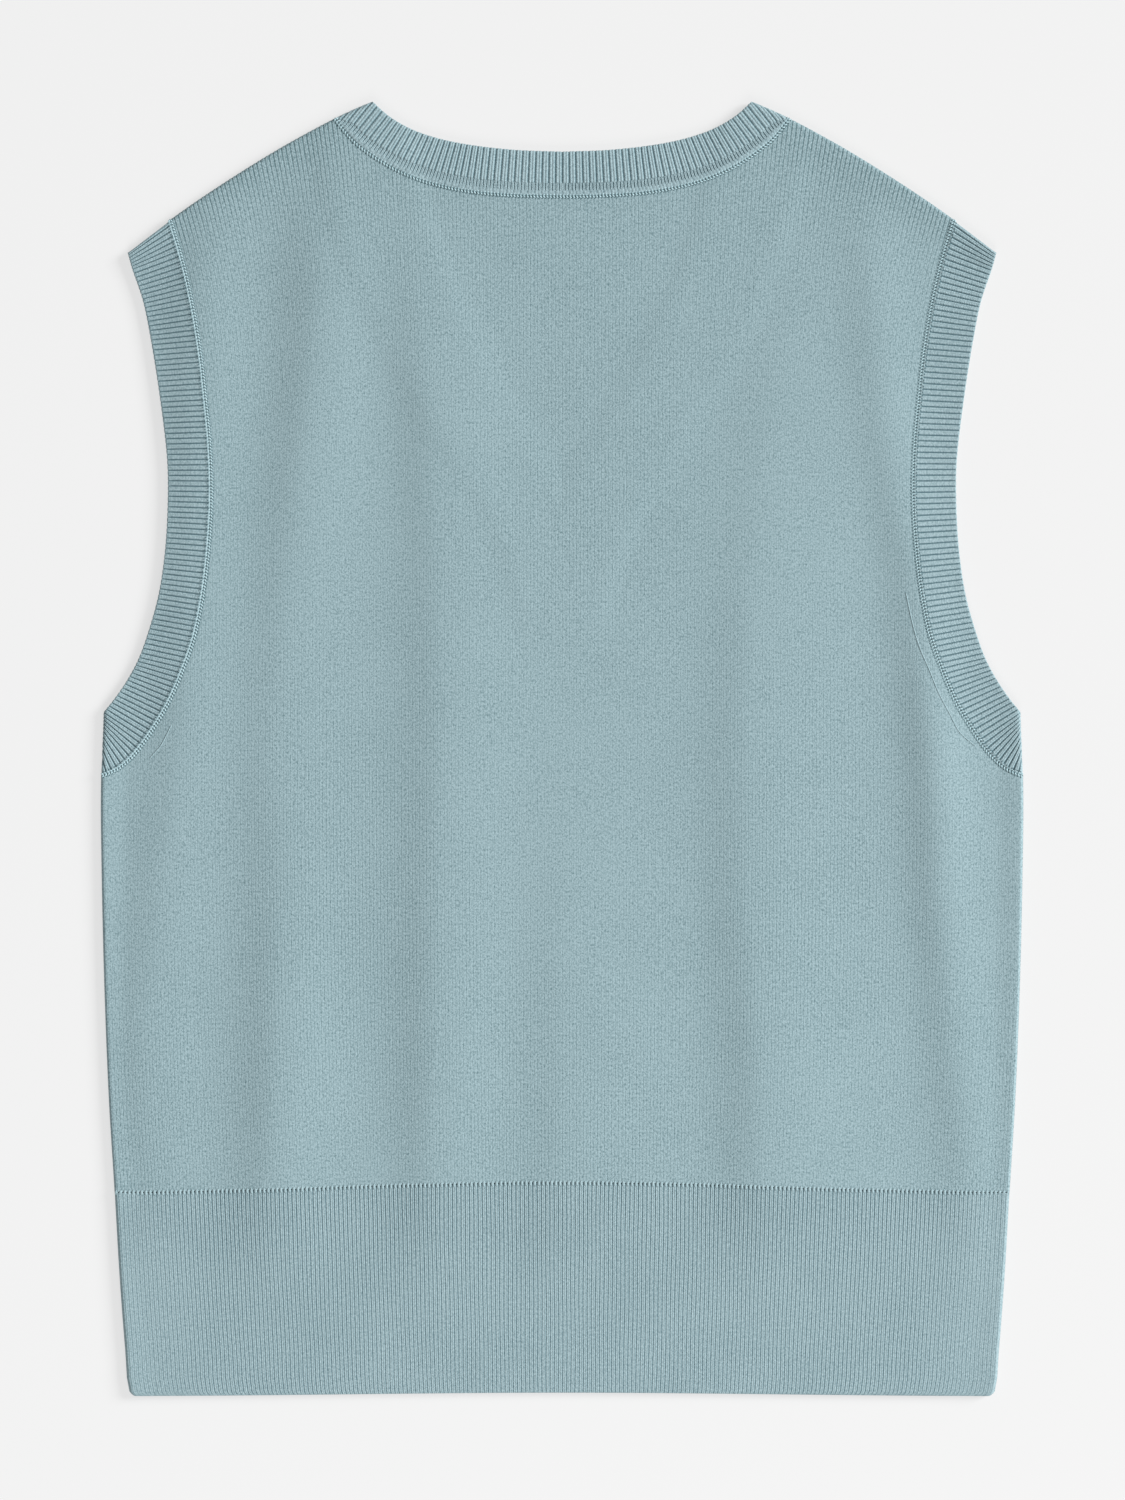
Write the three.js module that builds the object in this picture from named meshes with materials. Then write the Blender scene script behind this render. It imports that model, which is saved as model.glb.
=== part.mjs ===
// Knitted sweater vest, laid flat on a table with its back up.
// Millimetres, +Z up, +Y towards the neck, X across. The origin is under the middle of the vest.
// Every outline is given for one half, as the distance out from the centre line and the height
// up from the hem edge, and is mirrored for the other half.

import * as THREE from 'three';

// Driving sizes of the cloth and of the lie
const LENGTH = 634.6; // hem edge to the neck corner
const JERSEY = 1.5; // wall of the plain knit
const RIB = 1.9; // wall of the ribbed knit, over the ribs
const RIB_GROOVE = 0.45; // depth of the groove between two ribs
const SEAM_GAP = 0.3; // between two pieces that are sewn together
const FOLD_HOLLOW = 0.25; // radius left open inside a folded edge
const SETTLE = 0.45; // how far the upper layer sinks away from its folded edges
const SETTLE_REACH = 14; // distance over which it sinks
const CLOTH_COLOUR = 0x96aeb4;
const CHEST_HALF = 225; // half width of the flat vest at the chest
const HEM_HALF = 218; // and at the hem line
const SHOULDER_NORMAL = new THREE.Vector2(0.51, 0.86); // outwards, square to the shoulder fold
const DOWN_SEAMS = new THREE.Vector2(-0.25, -0.97); // from that fold down along neck and arm seam

// Knitted ribs that show on the back, at their real number
const HEM_RIBS = 212;
const ARM_RIBS = 96;
const NECK_RIBS = 66;

// Outer line of the flat vest at the side fold, from the hem edge to above the underarm
const SIDE = [
  { half: 210.0, up: 0 },
  { half: 212.3, up: 2.2 },
  { half: 214.3, up: 22 },
  { half: 217.0, up: 57 },
  { half: 219.6, up: 101 },
  { half: 222.3, up: 145 },
  { half: 224.5, up: 200 },
  { half: 225.8, up: 255 },
  { half: 226.2, up: 295 },
  { half: 225.6, up: 315 },
  { half: 224.9, up: 335 },
  { half: 224.9, up: 350 },
];

// Fold at the shoulder, from beyond the tip of the arm band to beyond the neck corner
const SHOULDER = [
  { half: 222, up: 553.6 },
  { half: 213.0, up: 560.6 },
  { half: 192.6, up: 576.4 },
  { half: 171.0, up: 591.4 },
  { half: 138.7, up: 611.6 },
  { half: 110.7, up: 626.8 },
  { half: 99.0, up: 632.2 },
  { half: 93.0, up: 634.6 },
  { half: 80, up: 639.5 },
];

// Seam between a panel and an arm band, from the shoulder to the side fold
const ARM_SEAM = [
  { half: 192.3, up: 576.6 },
  { half: 185.6, up: 553.4 },
  { half: 180.5, up: 529.8 },
  { half: 177.1, up: 507.8 },
  { half: 175.1, up: 489.3 },
  { half: 172.9, up: 466.0 },
  { half: 172.2, up: 438.0 },
  { half: 174.2, up: 408.7 },
  { half: 176.8, up: 389.6 },
  { half: 180.6, up: 371.7 },
  { half: 186.0, up: 356.2 },
  { half: 192.6, up: 341.0 },
  { half: 199.6, up: 328.9 },
  { half: 206.4, up: 319.0 },
  { half: 212.6, up: 311.8 },
  { half: 218.6, up: 307.2 },
  { half: 225.9, up: 304.0 },
];

// Free edge of an arm band, from the shoulder tip to the underarm
const ARM_EDGE = [
  { half: 213.0, up: 560.6 },
  { half: 210.7, up: 552.2 },
  { half: 205.6, up: 537.0 },
  { half: 201.6, up: 517.4 },
  { half: 197.0, up: 488.0 },
  { half: 193.6, up: 458.6 },
  { half: 193.3, up: 439.0 },
  { half: 194.6, up: 415.0 },
  { half: 197.6, up: 394.0 },
  { half: 201.8, up: 378.0 },
  { half: 207.6, up: 361.5 },
  { half: 213.8, up: 350.0 },
  { half: 220.0, up: 341.0 },
  { half: 224.9, up: 335.0 },
];

// Seam between the back and the neck band, from the centre to the shoulder
const BACK_NECK_SEAM = [
  { half: 0, up: 588.2 },
  { half: 20, up: 588.6 },
  { half: 40, up: 590.0 },
  { half: 54.9, up: 592.4 },
  { half: 69.6, up: 596.3 },
  { half: 84.3, up: 602.8 },
  { half: 99.0, up: 612.6 },
  { half: 105.5, up: 619.0 },
  { half: 111.4, up: 626.4 },
];

// Free edge of the neck band at the back, from the centre to the shoulder
const BACK_NECK_EDGE = [
  { half: 0, up: 610.0 },
  { half: 24.5, up: 611.0 },
  { half: 49.0, up: 614.0 },
  { half: 63.7, up: 617.4 },
  { half: 75.0, up: 621.6 },
  { half: 84.6, up: 627.2 },
  { half: 93.0, up: 634.6 },
];

// Plain V neck of the hidden front, from the centre to the shoulder
const FRONT_NECK_SEAM = [
  { half: 0, up: 393.3 },
  { half: 20, up: 423.0 },
  { half: 40, up: 453.1 },
  { half: 54.9, up: 476.5 },
  { half: 69.6, up: 502.1 },
  { half: 84.3, up: 533.0 },
  { half: 99.0, up: 572.5 },
  { half: 105.5, up: 597.5 },
  { half: 111.4, up: 626.4 },
];
const FRONT_NECK_EDGE = [
  { half: 0, up: 430.0 },
  { half: 35.5, up: 484.5 },
  { half: 61.3, up: 534.5 },
  { half: 80.6, up: 584.5 },
  { half: 93.0, up: 634.6 },
];

// Line where the jersey becomes the hem rib, and the hem edge
const HEM_LINE = { middle: 104.6, side: 99.8 };
const HEM_EDGE = { middle: 1.6, side: 0 };

// Where a rib that starts at a share of the seam ends on the free edge, as a share of that edge
const ARM_RIB_RUN = [
  { seam: 0, edge: 0 },
  { seam: 0.13, edge: 0.115 },
  { seam: 0.42, edge: 0.46 },
  { seam: 0.58, edge: 0.65 },
  { seam: 0.76, edge: 0.86 },
  { seam: 0.9, edge: 0.965 },
  { seam: 1, edge: 1 },
];
const NECK_RIB_RUN = [
  { seam: 0, edge: 0 },
  { seam: 0.58, edge: 0.65 },
  { seam: 0.86, edge: 0.93 },
  { seam: 1, edge: 1 },
];

// Soft ridges of the laid back: X at the shoulders and at the hem, height, width and upper end
const RIDGES = [
  { top: -160, hem: -190, rise: 0.7, width: 19, to: 600 },
  { top: -104, hem: -114, rise: 0.95, width: 20, to: 590 },
  { top: -44, hem: -47, rise: 0.75, width: 18, to: 480 },
  { top: 22, hem: 30, rise: 0.95, width: 26, to: 400 },
  { top: 98, hem: 142, rise: 1.15, width: 22, to: 560 },
  { top: 176, hem: 207, rise: 0.6, width: 13, to: 520 },
];
const RIDGE_FADE = 70; // a ridge dies away over this length at its upper end
const HEM_FADE = { from: 45, to: 165 }; // and between these heights into the hem rib
const NECK_PRESS = { flat: 18, free: 30 }; // the back stays up this near the front band's middle

// Steps across a band, from the seam to the free edge, and how full the rib is there
const BAND_STEPS = [
  { across: 0, full: 0.82 },
  { across: 0.08, full: 1 },
  { across: 0.93, full: 1 },
  { across: 1, full: 0.78 },
];

// Steps up the hem rib, from the hem edge to the jersey, and how full the rib is there
const HEM_STEPS = [
  { share: 0, full: 0.78 },
  { share: 0.02, full: 1 },
  { share: 0.98, full: 1 },
  { share: 1, full: 0.82 },
];
const PLAIN_STEPS = 44; // steps along a side that carries no ribs

// Shares of the half width at which a panel has a column, from the centre to the side fold
const PANEL_COLUMNS = [
  0, 0.104, 0.208, 0.286, 0.362, 0.439, 0.515, 0.549, 0.58, 0.65, 0.722, 0.805, 0.89, 0.95,
];
const FOLD_STEPS = [2.6, 0.6, 0]; // distances from a folded edge that get a row or a column

// Height of the middle of every folded edge, where the two layers meet
const foldHeight = RIB + FOLD_HOLLOW + SEAM_GAP / 2;

// Value of one column of a table where another column has a given value
function lookUp(table, key, value, at) {
  let last = table.length - 1;
  const rising = table[last][key] > table[0][key];
  for (let i = 1; i < last; i += 1) {
    if (rising ? at <= table[i][key] : at >= table[i][key]) {
      last = i;
      break;
    }
  }
  const low = table[last - 1];
  const high = table[last];
  const share = (at - low[key]) / (high[key] - low[key]);
  return low[value] + (high[value] - low[value]) * share;
}

// Lengths along a table's line up to each of its rows
function runningLengths(table) {
  const lengths = [0];
  for (let i = 1; i < table.length; i += 1) {
    const step = Math.hypot(table[i].half - table[i - 1].half, table[i].up - table[i - 1].up);
    lengths.push(lengths[i - 1] + step);
  }
  return lengths;
}

// Point at a share of a line's length
function pointAlong(table, share) {
  const lengths = runningLengths(table);
  const target = share * lengths[lengths.length - 1];
  const rows = table.map((row, i) => ({ run: lengths[i], half: row.half, up: row.up }));
  return new THREE.Vector2(lookUp(rows, 'run', 'half', target), lookUp(rows, 'run', 'up', target));
}

// The same line moved sideways, to the right of its direction when the distance is positive.
// A point on the centre line stays on it.
function moved(table, distance) {
  return table.map((row, i) => {
    const before = table[Math.max(i - 1, 0)];
    const after = table[Math.min(i + 1, table.length - 1)];
    const along = new THREE.Vector2(after.half - before.half, after.up - before.up).normalize();
    if (row.half === 0) {
      return { half: 0, up: row.up - distance / along.x };
    }
    return { half: row.half + along.y * distance, up: row.up - along.x * distance };
  });
}

function smooth(share) {
  const t = THREE.MathUtils.clamp(share, 0, 1);
  return t * t * (3 - 2 * t);
}

function hemHeight(line, x) {
  return THREE.MathUtils.lerp(line.middle, line.side, smooth(Math.abs(x) / HEM_HALF));
}

// Distance of a flat point from the nearest folded edge, the side or the shoulder
function foldDistance(x, up) {
  const half = Math.abs(x);
  const toSide = lookUp(SIDE, 'up', 'half', up) - half;
  const toShoulder = (lookUp(SHOULDER, 'half', 'up', half) - up) * SHOULDER_NORMAL.y;
  return Math.max(Math.min(toSide, toShoulder), 0);
}

// Share of full height that a rounded edge has reached at a distance from the fold
function rounding(distance, radius) {
  const left = Math.max(1 - distance / radius, 0);
  return Math.sqrt(1 - left * left);
}

// Height of the soft ridges over the laid back
function ridgeHeight(x, up) {
  let height = 0;
  for (const ridge of RIDGES) {
    const share = (up - HEM_LINE.middle) / (LENGTH - HEM_LINE.middle);
    const middle = THREE.MathUtils.lerp(ridge.hem, ridge.top, share);
    const fade = smooth((ridge.to - up) / RIDGE_FADE);
    height += ridge.rise * fade * Math.exp(-(((x - middle) / ridge.width) ** 2));
  }
  return height * smooth((up - HEM_FADE.from) / (HEM_FADE.to - HEM_FADE.from));
}

// Share of its full sinking that the back keeps where the front neck band lies under it
function besideNeckBand(x, up) {
  if (up < FRONT_NECK_SEAM[0].up) {
    const below = FRONT_NECK_SEAM[0].up - up;
    return smooth((Math.hypot(x, below) - NECK_PRESS.flat) / (NECK_PRESS.free - NECK_PRESS.flat));
  }
  const seam = lookUp(FRONT_NECK_SEAM, 'up', 'half', up);
  const edge = Math.max(lookUp(FRONT_NECK_EDGE, 'up', 'half', up), 0);
  const away = Math.abs(Math.abs(x) - (seam + edge) / 2);
  return smooth((away - NECK_PRESS.flat) / (NECK_PRESS.free - NECK_PRESS.flat));
}

// How far a layer lies above or below its height beside a fold. A thin wall sinks further,
// and the front sinks only until it rests on the table.
function lie(flat, layer, wall) {
  const reached = smooth(foldDistance(flat.x, flat.y) / SETTLE_REACH);
  const slack = RIB - wall;
  if (layer < 0) {
    return -slack * reached;
  }
  const settled = SETTLE * besideNeckBand(flat.x, flat.y) + slack;
  return reached * (ridgeHeight(flat.x, flat.y) - settled);
}

// A point of a wall: layer is +1 for the back, which lies on top, and -1 for the front below it.
// The outer side is a wall's thickness outside the hollow of the fold, the inner side is on it.
function outerPoint(flat, layer, wall, thinner) {
  const radius = FOLD_HOLLOW + wall;
  const height = (radius - thinner) * rounding(foldDistance(flat.x, flat.y), radius);
  const z = foldHeight + layer * (SEAM_GAP / 2 + height) + lie(flat, layer, wall);
  return new THREE.Vector3(flat.x, flat.y, Math.max(z, 0));
}

function innerPoint(flat, layer, wall) {
  const past = Math.max(foldDistance(flat.x, flat.y) - wall, 0);
  const height = FOLD_HOLLOW * rounding(past, FOLD_HOLLOW);
  const z = foldHeight + layer * (SEAM_GAP / 2 + height) + lie(flat, layer, wall);
  return new THREE.Vector3(flat.x, flat.y, z);
}

// Collects points and faces of one closed solid
class Solid {
  constructor() {
    this.points = [];
    this.faces = [];
  }

  // Adds a grid of points, rows of columns, and faces over it, and returns the point numbers
  addGrid(grid, closed, flip) {
    const numbers = grid.map((row) => row.map((point) => this.points.push(point) - 1));
    for (let r = 0; r + 1 < numbers.length; r += 1) {
      const count = numbers[r].length;
      for (let c = 0; c < (closed ? count : count - 1); c += 1) {
        const next = (c + 1) % count;
        const corners = [numbers[r][c], numbers[r][next], numbers[r + 1][next], numbers[r + 1][c]];
        this.addQuad(flip ? corners.reverse() : corners);
      }
    }
    return numbers;
  }

  addQuad([a, b, c, d]) {
    this.faces.push([a, b, c], [a, c, d]);
  }

  // Joins two edges that run side by side and may have different numbers of points
  stitch(left, right) {
    const leftShares = this.shares(left);
    const rightShares = this.shares(right);
    let i = 0;
    let j = 0;
    while (i < left.length - 1 || j < right.length - 1) {
      const nextLeft = i < left.length - 1 ? leftShares[i + 1] : Infinity;
      const nextRight = j < right.length - 1 ? rightShares[j + 1] : Infinity;
      if (nextLeft <= nextRight) {
        this.faces.push([left[i], right[j], left[i + 1]]);
        i += 1;
      } else {
        this.faces.push([left[i], right[j], right[j + 1]]);
        j += 1;
      }
    }
  }

  // Share of an edge's length at each of its points, measured flat
  shares(edge) {
    const lengths = [0];
    for (let i = 1; i < edge.length; i += 1) {
      const a = this.points[edge[i - 1]];
      const b = this.points[edge[i]];
      lengths.push(lengths[i - 1] + Math.hypot(a.x - b.x, a.y - b.y, (a.z - b.z) / 4));
    }
    return lengths.map((length) => length / lengths[lengths.length - 1]);
  }

  // Turns every face round if the solid is inside out, and returns its geometry
  geometry() {
    let volume = 0;
    for (const [a, b, c] of this.faces) {
      volume += this.points[a].dot(this.points[b].clone().cross(this.points[c]));
    }
    const faces = volume > 0 ? this.faces : this.faces.map(([a, b, c]) => [a, c, b]);
    const geometry = new THREE.BufferGeometry();
    geometry.setFromPoints(this.points);
    geometry.setIndex(faces.flat());
    geometry.computeVertexNormals();
    return geometry;
  }
}

// A wall between an outer and an inner grid, with a rim along each of its four edges
function panelSolid(outer, inner) {
  const solid = new Solid();
  const out = solid.addGrid(outer, false, false);
  const inn = solid.addGrid(inner, false, true);
  const lastOut = out[out.length - 1];
  const lastInn = inn[inn.length - 1];
  const side = (grid, pick) => grid.map((row) => row[pick < 0 ? row.length - 1 : 0]);
  solid.stitch(out[0], inn[0]);
  solid.stitch(lastInn, lastOut);
  solid.stitch(side(inn, 0), side(out, 0));
  solid.stitch(side(out, -1), side(inn, -1));
  return solid.geometry();
}

// A ring's wall, with a rim along the seam and one along the free edge. The starts say at which
// station of the outer and of the inner grid each stretch of the ring begins.
function ringSolid(outer, inner, outerStarts, innerStarts) {
  const solid = new Solid();
  const out = solid.addGrid(outer, true, false);
  const inn = solid.addGrid(inner, true, true);
  const stretch = (row, starts, i) => [...row, row[0]].slice(starts[i], starts[i + 1] + 1);
  for (let i = 0; i + 1 < outerStarts.length; i += 1) {
    solid.stitch(stretch(out[0], outerStarts, i), stretch(inn[0], innerStarts, i));
    const lastOut = stretch(out[out.length - 1], outerStarts, i);
    solid.stitch(stretch(inn[inn.length - 1], innerStarts, i), lastOut);
  }
  return solid.geometry();
}

// A panel's own outline: its half width at each height, and its top line at each share of the width
function panelOutline(neckSeam) {
  const armSide = moved(ARM_SEAM, SEAM_GAP / 2);
  const top = armSide[0];
  const corner = armSide[armSide.length - 1];
  const sideRows = SIDE.filter((row) => row.up > HEM_LINE.side + 5 && row.up < corner.up - 5);
  const start = { half: lookUp(SIDE, 'up', 'half', HEM_LINE.side), up: HEM_LINE.side + SEAM_GAP / 2 };
  const armRows = armSide.slice(1).reverse();
  armRows[0].half = lookUp(SIDE, 'up', 'half', armRows[0].up);
  const rows = [start, ...sideRows, ...armRows];
  const neck = moved(neckSeam, SEAM_GAP / 2);
  const neckEnd = neck[neck.length - 1];
  neckEnd.up = lookUp(SHOULDER, 'half', 'up', neckEnd.half);
  const shoulder = SHOULDER.filter((row) => row.half < top.half - 2 && row.half > neckEnd.half + 2);
  const topEnd = { half: top.half, up: lookUp(SHOULDER, 'half', 'up', top.half) };
  const topLine = [...neck, ...shoulder.reverse(), topEnd];
  rows.push(topEnd);
  return { rows, topLine, start, topEnd };
}

// Grid of one side of a panel. Columns are shares of the width, rows follow the outline.
function panelGrid(outline, columns, place) {
  const { rows, topLine, start, topEnd } = outline;
  const span = topEnd.up - start.up;
  const heights = rows.map((row) => ({ share: (row.up - start.up) / span, half: row.half }));
  const nearTop = FOLD_STEPS.slice(0, -1).map((step) => 1 - step / span);
  const shares = [...heights.slice(0, -1).map((row) => row.share), ...nearTop, 1];
  return shares.map((share) => {
    const half = lookUp(heights, 'share', 'half', share);
    return columns.map((column) => {
      const x = column * half;
      const topUp = lookUp(topLine, 'half', 'up', Math.abs(column) * topEnd.half);
      const low = hemHeight(HEM_LINE, x) + SEAM_GAP / 2;
      const up = THREE.MathUtils.lerp(low, topUp, share);
      const flat = new THREE.Vector2(x, up);
      return place(flat);
    });
  });
}

// Moves a flat point in from a folded edge until it is at least a wall's thickness away
function insetFromFold(flat, wall) {
  const result = flat.clone();
  const short = wall - foldDistance(flat.x, flat.y);
  if (short <= 0) {
    return result;
  }
  const half = Math.abs(flat.x);
  const toSide = lookUp(SIDE, 'up', 'half', flat.y) - half;
  if (toSide < wall) {
    result.x -= Math.sign(flat.x) * (wall - Math.max(toSide, 0));
  } else {
    const step = short / -DOWN_SEAMS.dot(SHOULDER_NORMAL);
    result.x += Math.sign(flat.x) * DOWN_SEAMS.x * step;
    result.y += DOWN_SEAMS.y * step;
  }
  return result;
}

// Columns of a panel from one side fold to the other
function bothHalves(columns) {
  const left = columns.slice(1).map((column) => -column).reverse();
  return [...left, ...columns];
}

function panelGeometry(neckSeam, layer) {
  const outline = panelOutline(neckSeam);
  const nearFold = FOLD_STEPS.map((step) => 1 - step / CHEST_HALF);
  const outerColumns = bothHalves([...PANEL_COLUMNS, ...nearFold]);
  const innerColumns = bothHalves([...PANEL_COLUMNS, nearFold[0], 1]);
  const outer = panelGrid(outline, outerColumns, (flat) => outerPoint(flat, layer, JERSEY, 0));
  const drawnIn = (flat) => innerPoint(insetFromFold(flat, JERSEY), layer, JERSEY);
  const inner = panelGrid(outline, innerColumns, drawnIn);
  return panelSolid(outer, inner);
}

// The hem rib of one layer, straight ribs from the hem edge up to the jersey
function hemGeometry(ribs, layer) {
  const steps = ribs > 0 ? ribs * 2 : PLAIN_STEPS;
  const across = (count) => Array.from({ length: count + 1 }, (unused, i) => (2 * i) / count - 1);
  const flatPoint = (column, share) => {
    const low = hemHeight(HEM_EDGE, column * HEM_HALF);
    const high = hemHeight(HEM_LINE, column * HEM_HALF) - SEAM_GAP / 2;
    const up = THREE.MathUtils.lerp(low, high, share);
    return new THREE.Vector2(column * lookUp(SIDE, 'up', 'half', up), up);
  };
  const foldShares = FOLD_STEPS.slice(0, -1).map((step) => 1 - step / SIDE[0].half);
  let columns = across(steps);
  if (ribs === 0) {
    const left = foldShares.map((share) => -share).reverse();
    columns = [-1, ...left, ...columns.slice(1, -1), ...foldShares, 1];
  }
  const outer = HEM_STEPS.map(({ share, full }) => columns.map((column, i) => {
    const groove = ribs > 0 && i % 2 === 0 ? RIB_GROOVE : 0;
    const thinner = RIB * (1 - full) + groove * full;
    return outerPoint(flatPoint(column, share), layer, RIB, thinner);
  }));
  const inner = [0, 1].map((share) => across(PLAIN_STEPS).map((column) => {
    const flat = insetFromFold(flatPoint(column, share), RIB);
    return innerPoint(flat, layer, RIB);
  }));
  return panelSolid(outer, inner);
}

// One half of a band: flat points from the seam to the free edge at a share of the seam's length
function bandPoint(band, share, across) {
  const seam = pointAlong(band.seam, share);
  const edge = pointAlong(band.edge, lookUp(band.run, 'seam', 'edge', share));
  return seam.lerp(edge, across);
}

// Number of stations on a stretch. Two stretches that meet at a fold each have a station there,
// and two that meet at the centre share one.
function stationCount(stretch) {
  const endsAtCentre = stretch.reverse && stretch.seam[0].half === 0;
  return endsAtCentre ? stretch.steps : stretch.steps + 1;
}

// The station at which each stretch of a ring starts, and the number of all stations
function stretchStarts(stretches) {
  const starts = [0];
  for (const stretch of stretches) {
    starts.push(starts[starts.length - 1] + stationCount(stretch));
  }
  return starts;
}

// Stations round a ring band: where each lies along its stretch, in which layer, rib or groove
function bandStations(stretches) {
  const stations = [];
  for (const stretch of stretches) {
    for (let i = 0; i < stationCount(stretch); i += 1) {
      const share = i / stretch.steps;
      stations.push({ stretch, share: stretch.reverse ? 1 - share : share, index: i });
    }
  }
  return stations;
}

// Share of a band's length, from one of its ends, at which its inner side is clear of the fold
function clearShare(band, across, end) {
  const step = end === 0 ? 0.001 : -0.001;
  let share = end;
  let flat = bandPoint(band, share, across);
  while (foldDistance(flat.x, flat.y) < RIB) {
    share += step;
    flat = bandPoint(band, share, across);
  }
  return share;
}

// A ribbed band sewn round an opening and folded flat with it
function bandGeometry(stretches) {
  const outer = BAND_STEPS.map(({ across, full }) => bandStations(stretches).map((station) => {
    const { stretch, share, index } = station;
    const flat = bandPoint(stretch, share, across);
    flat.x *= stretch.mirror;
    const groove = stretch.ribbed && index % 2 === 0 ? RIB_GROOVE * full : 0;
    return outerPoint(flat, stretch.layer, RIB, RIB * (1 - full) + groove);
  }));
  const plain = stretches.map((stretch) => ({ ...stretch, steps: PLAIN_STEPS }));
  const inner = [0, 1].map((across) => bandStations(plain).map(({ stretch, share }) => {
    const first = clearShare(stretch, across, 0);
    const last = clearShare(stretch, across, 1);
    const flat = bandPoint(stretch, THREE.MathUtils.lerp(first, last, share), across);
    flat.x *= stretch.mirror;
    return innerPoint(flat, stretch.layer, RIB);
  }));
  return ringSolid(outer, inner, stretchStarts(stretches), stretchStarts(plain));
}

// The arm band on one side: down the back from the shoulder, and up the front
function armBand(mirror) {
  const seam = moved(ARM_SEAM, -SEAM_GAP / 2);
  const shape = { seam, edge: ARM_EDGE, run: ARM_RIB_RUN, mirror };
  return bandGeometry([
    { ...shape, layer: 1, steps: ARM_RIBS * 2, ribbed: true, reverse: false },
    { ...shape, layer: -1, steps: PLAIN_STEPS, ribbed: false, reverse: true },
  ]);
}

// The neck band: across the back from shoulder to shoulder, and down and up the front V
function neckBand() {
  const shape = (seam, edge) => ({ seam: moved(seam, -SEAM_GAP / 2), edge, run: NECK_RIB_RUN });
  const back = { ...shape(BACK_NECK_SEAM, BACK_NECK_EDGE), layer: 1, steps: NECK_RIBS, ribbed: true };
  const vee = shape(FRONT_NECK_SEAM, FRONT_NECK_EDGE);
  const front = { ...vee, layer: -1, steps: PLAIN_STEPS, ribbed: false };
  return bandGeometry([
    { ...back, mirror: -1, reverse: true },
    { ...back, mirror: 1, reverse: false },
    { ...front, mirror: 1, reverse: true },
    { ...front, mirror: -1, reverse: false },
  ]);
}

const group = new THREE.Group();

function addPiece(name, geometry, tint) {
  const color = new THREE.Color(CLOTH_COLOUR).multiplyScalar(tint);
  const material = new THREE.MeshStandardMaterial({ color, roughness: 0.95, metalness: 0 });
  const mesh = new THREE.Mesh(geometry, material);
  mesh.name = name;
  mesh.position.y = -LENGTH / 2;
  group.add(mesh);
}

addPiece('front_panel', panelGeometry(FRONT_NECK_SEAM, -1), 1);
addPiece('back_panel', panelGeometry(BACK_NECK_SEAM, 1), 1);
addPiece('front_hem_rib', hemGeometry(0, -1), 0.96);
addPiece('back_hem_rib', hemGeometry(HEM_RIBS, 1), 0.96);
addPiece('neck_band', neckBand(), 0.93);
addPiece('left_arm_band', armBand(-1), 0.93);
addPiece('right_arm_band', armBand(1), 0.93);

export default group;
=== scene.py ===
from collections import namedtuple

import bmesh
import bpy
import numpy as np
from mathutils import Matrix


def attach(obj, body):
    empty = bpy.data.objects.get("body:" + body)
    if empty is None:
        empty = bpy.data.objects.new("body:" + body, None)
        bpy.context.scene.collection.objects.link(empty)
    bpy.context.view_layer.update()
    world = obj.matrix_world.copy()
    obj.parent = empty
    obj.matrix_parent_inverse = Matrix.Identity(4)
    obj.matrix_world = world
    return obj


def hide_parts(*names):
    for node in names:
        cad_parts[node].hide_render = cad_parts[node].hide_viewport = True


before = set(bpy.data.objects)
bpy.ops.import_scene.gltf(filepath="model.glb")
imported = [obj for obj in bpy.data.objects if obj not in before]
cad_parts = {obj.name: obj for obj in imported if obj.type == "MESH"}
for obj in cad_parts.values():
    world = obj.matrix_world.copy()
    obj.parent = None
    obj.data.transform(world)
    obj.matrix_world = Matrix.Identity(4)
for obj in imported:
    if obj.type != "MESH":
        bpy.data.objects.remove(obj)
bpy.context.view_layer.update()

# The view. The camera looks straight down on the flat vest from two metres, so that its edges
# stay upright. The vest lies on a plain pale floor.
VIEW_HEIGHT = 0.735
LENS = 100
SENSOR_HEIGHT = 36
CLOTH_TOP = 0.004
VIEW_CENTRE = (0.0002, -0.0007)

camera_data = bpy.data.cameras.new("camera")
camera_data.sensor_fit = "VERTICAL"
camera_data.sensor_height = SENSOR_HEIGHT
camera_data.lens = LENS
camera = bpy.data.objects.new("camera", camera_data)
camera.location = (*VIEW_CENTRE, CLOTH_TOP + VIEW_HEIGHT * LENS / SENSOR_HEIGHT)
bpy.context.scene.collection.objects.link(camera)
bpy.context.scene.camera = camera
bpy.context.scene.view_settings.view_transform = "Standard"


def add_node(tree, kind, *inputs, **settings):
    """Adds a node, sets or links its inputs in order, and returns its first output."""
    node = tree.nodes.new(kind)
    for name, value in settings.items():
        setattr(node, name, value)
    for socket, value in zip(node.inputs, inputs):
        if isinstance(value, bpy.types.NodeSocket):
            tree.links.new(value, socket)
        elif value is not None:
            socket.default_value = value
    return node.outputs[0]


def calculate(tree, operation, *inputs):
    return add_node(tree, "ShaderNodeMath", *inputs, operation=operation)


FLOOR_SIZE = 14
FLOOR_GAP = 0.0001
FLOOR_COLOUR = (0.2, 0.2, 0.2, 1)
FLOOR_GLOW = 0.643
WORLD_LIGHT = 0.28

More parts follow.
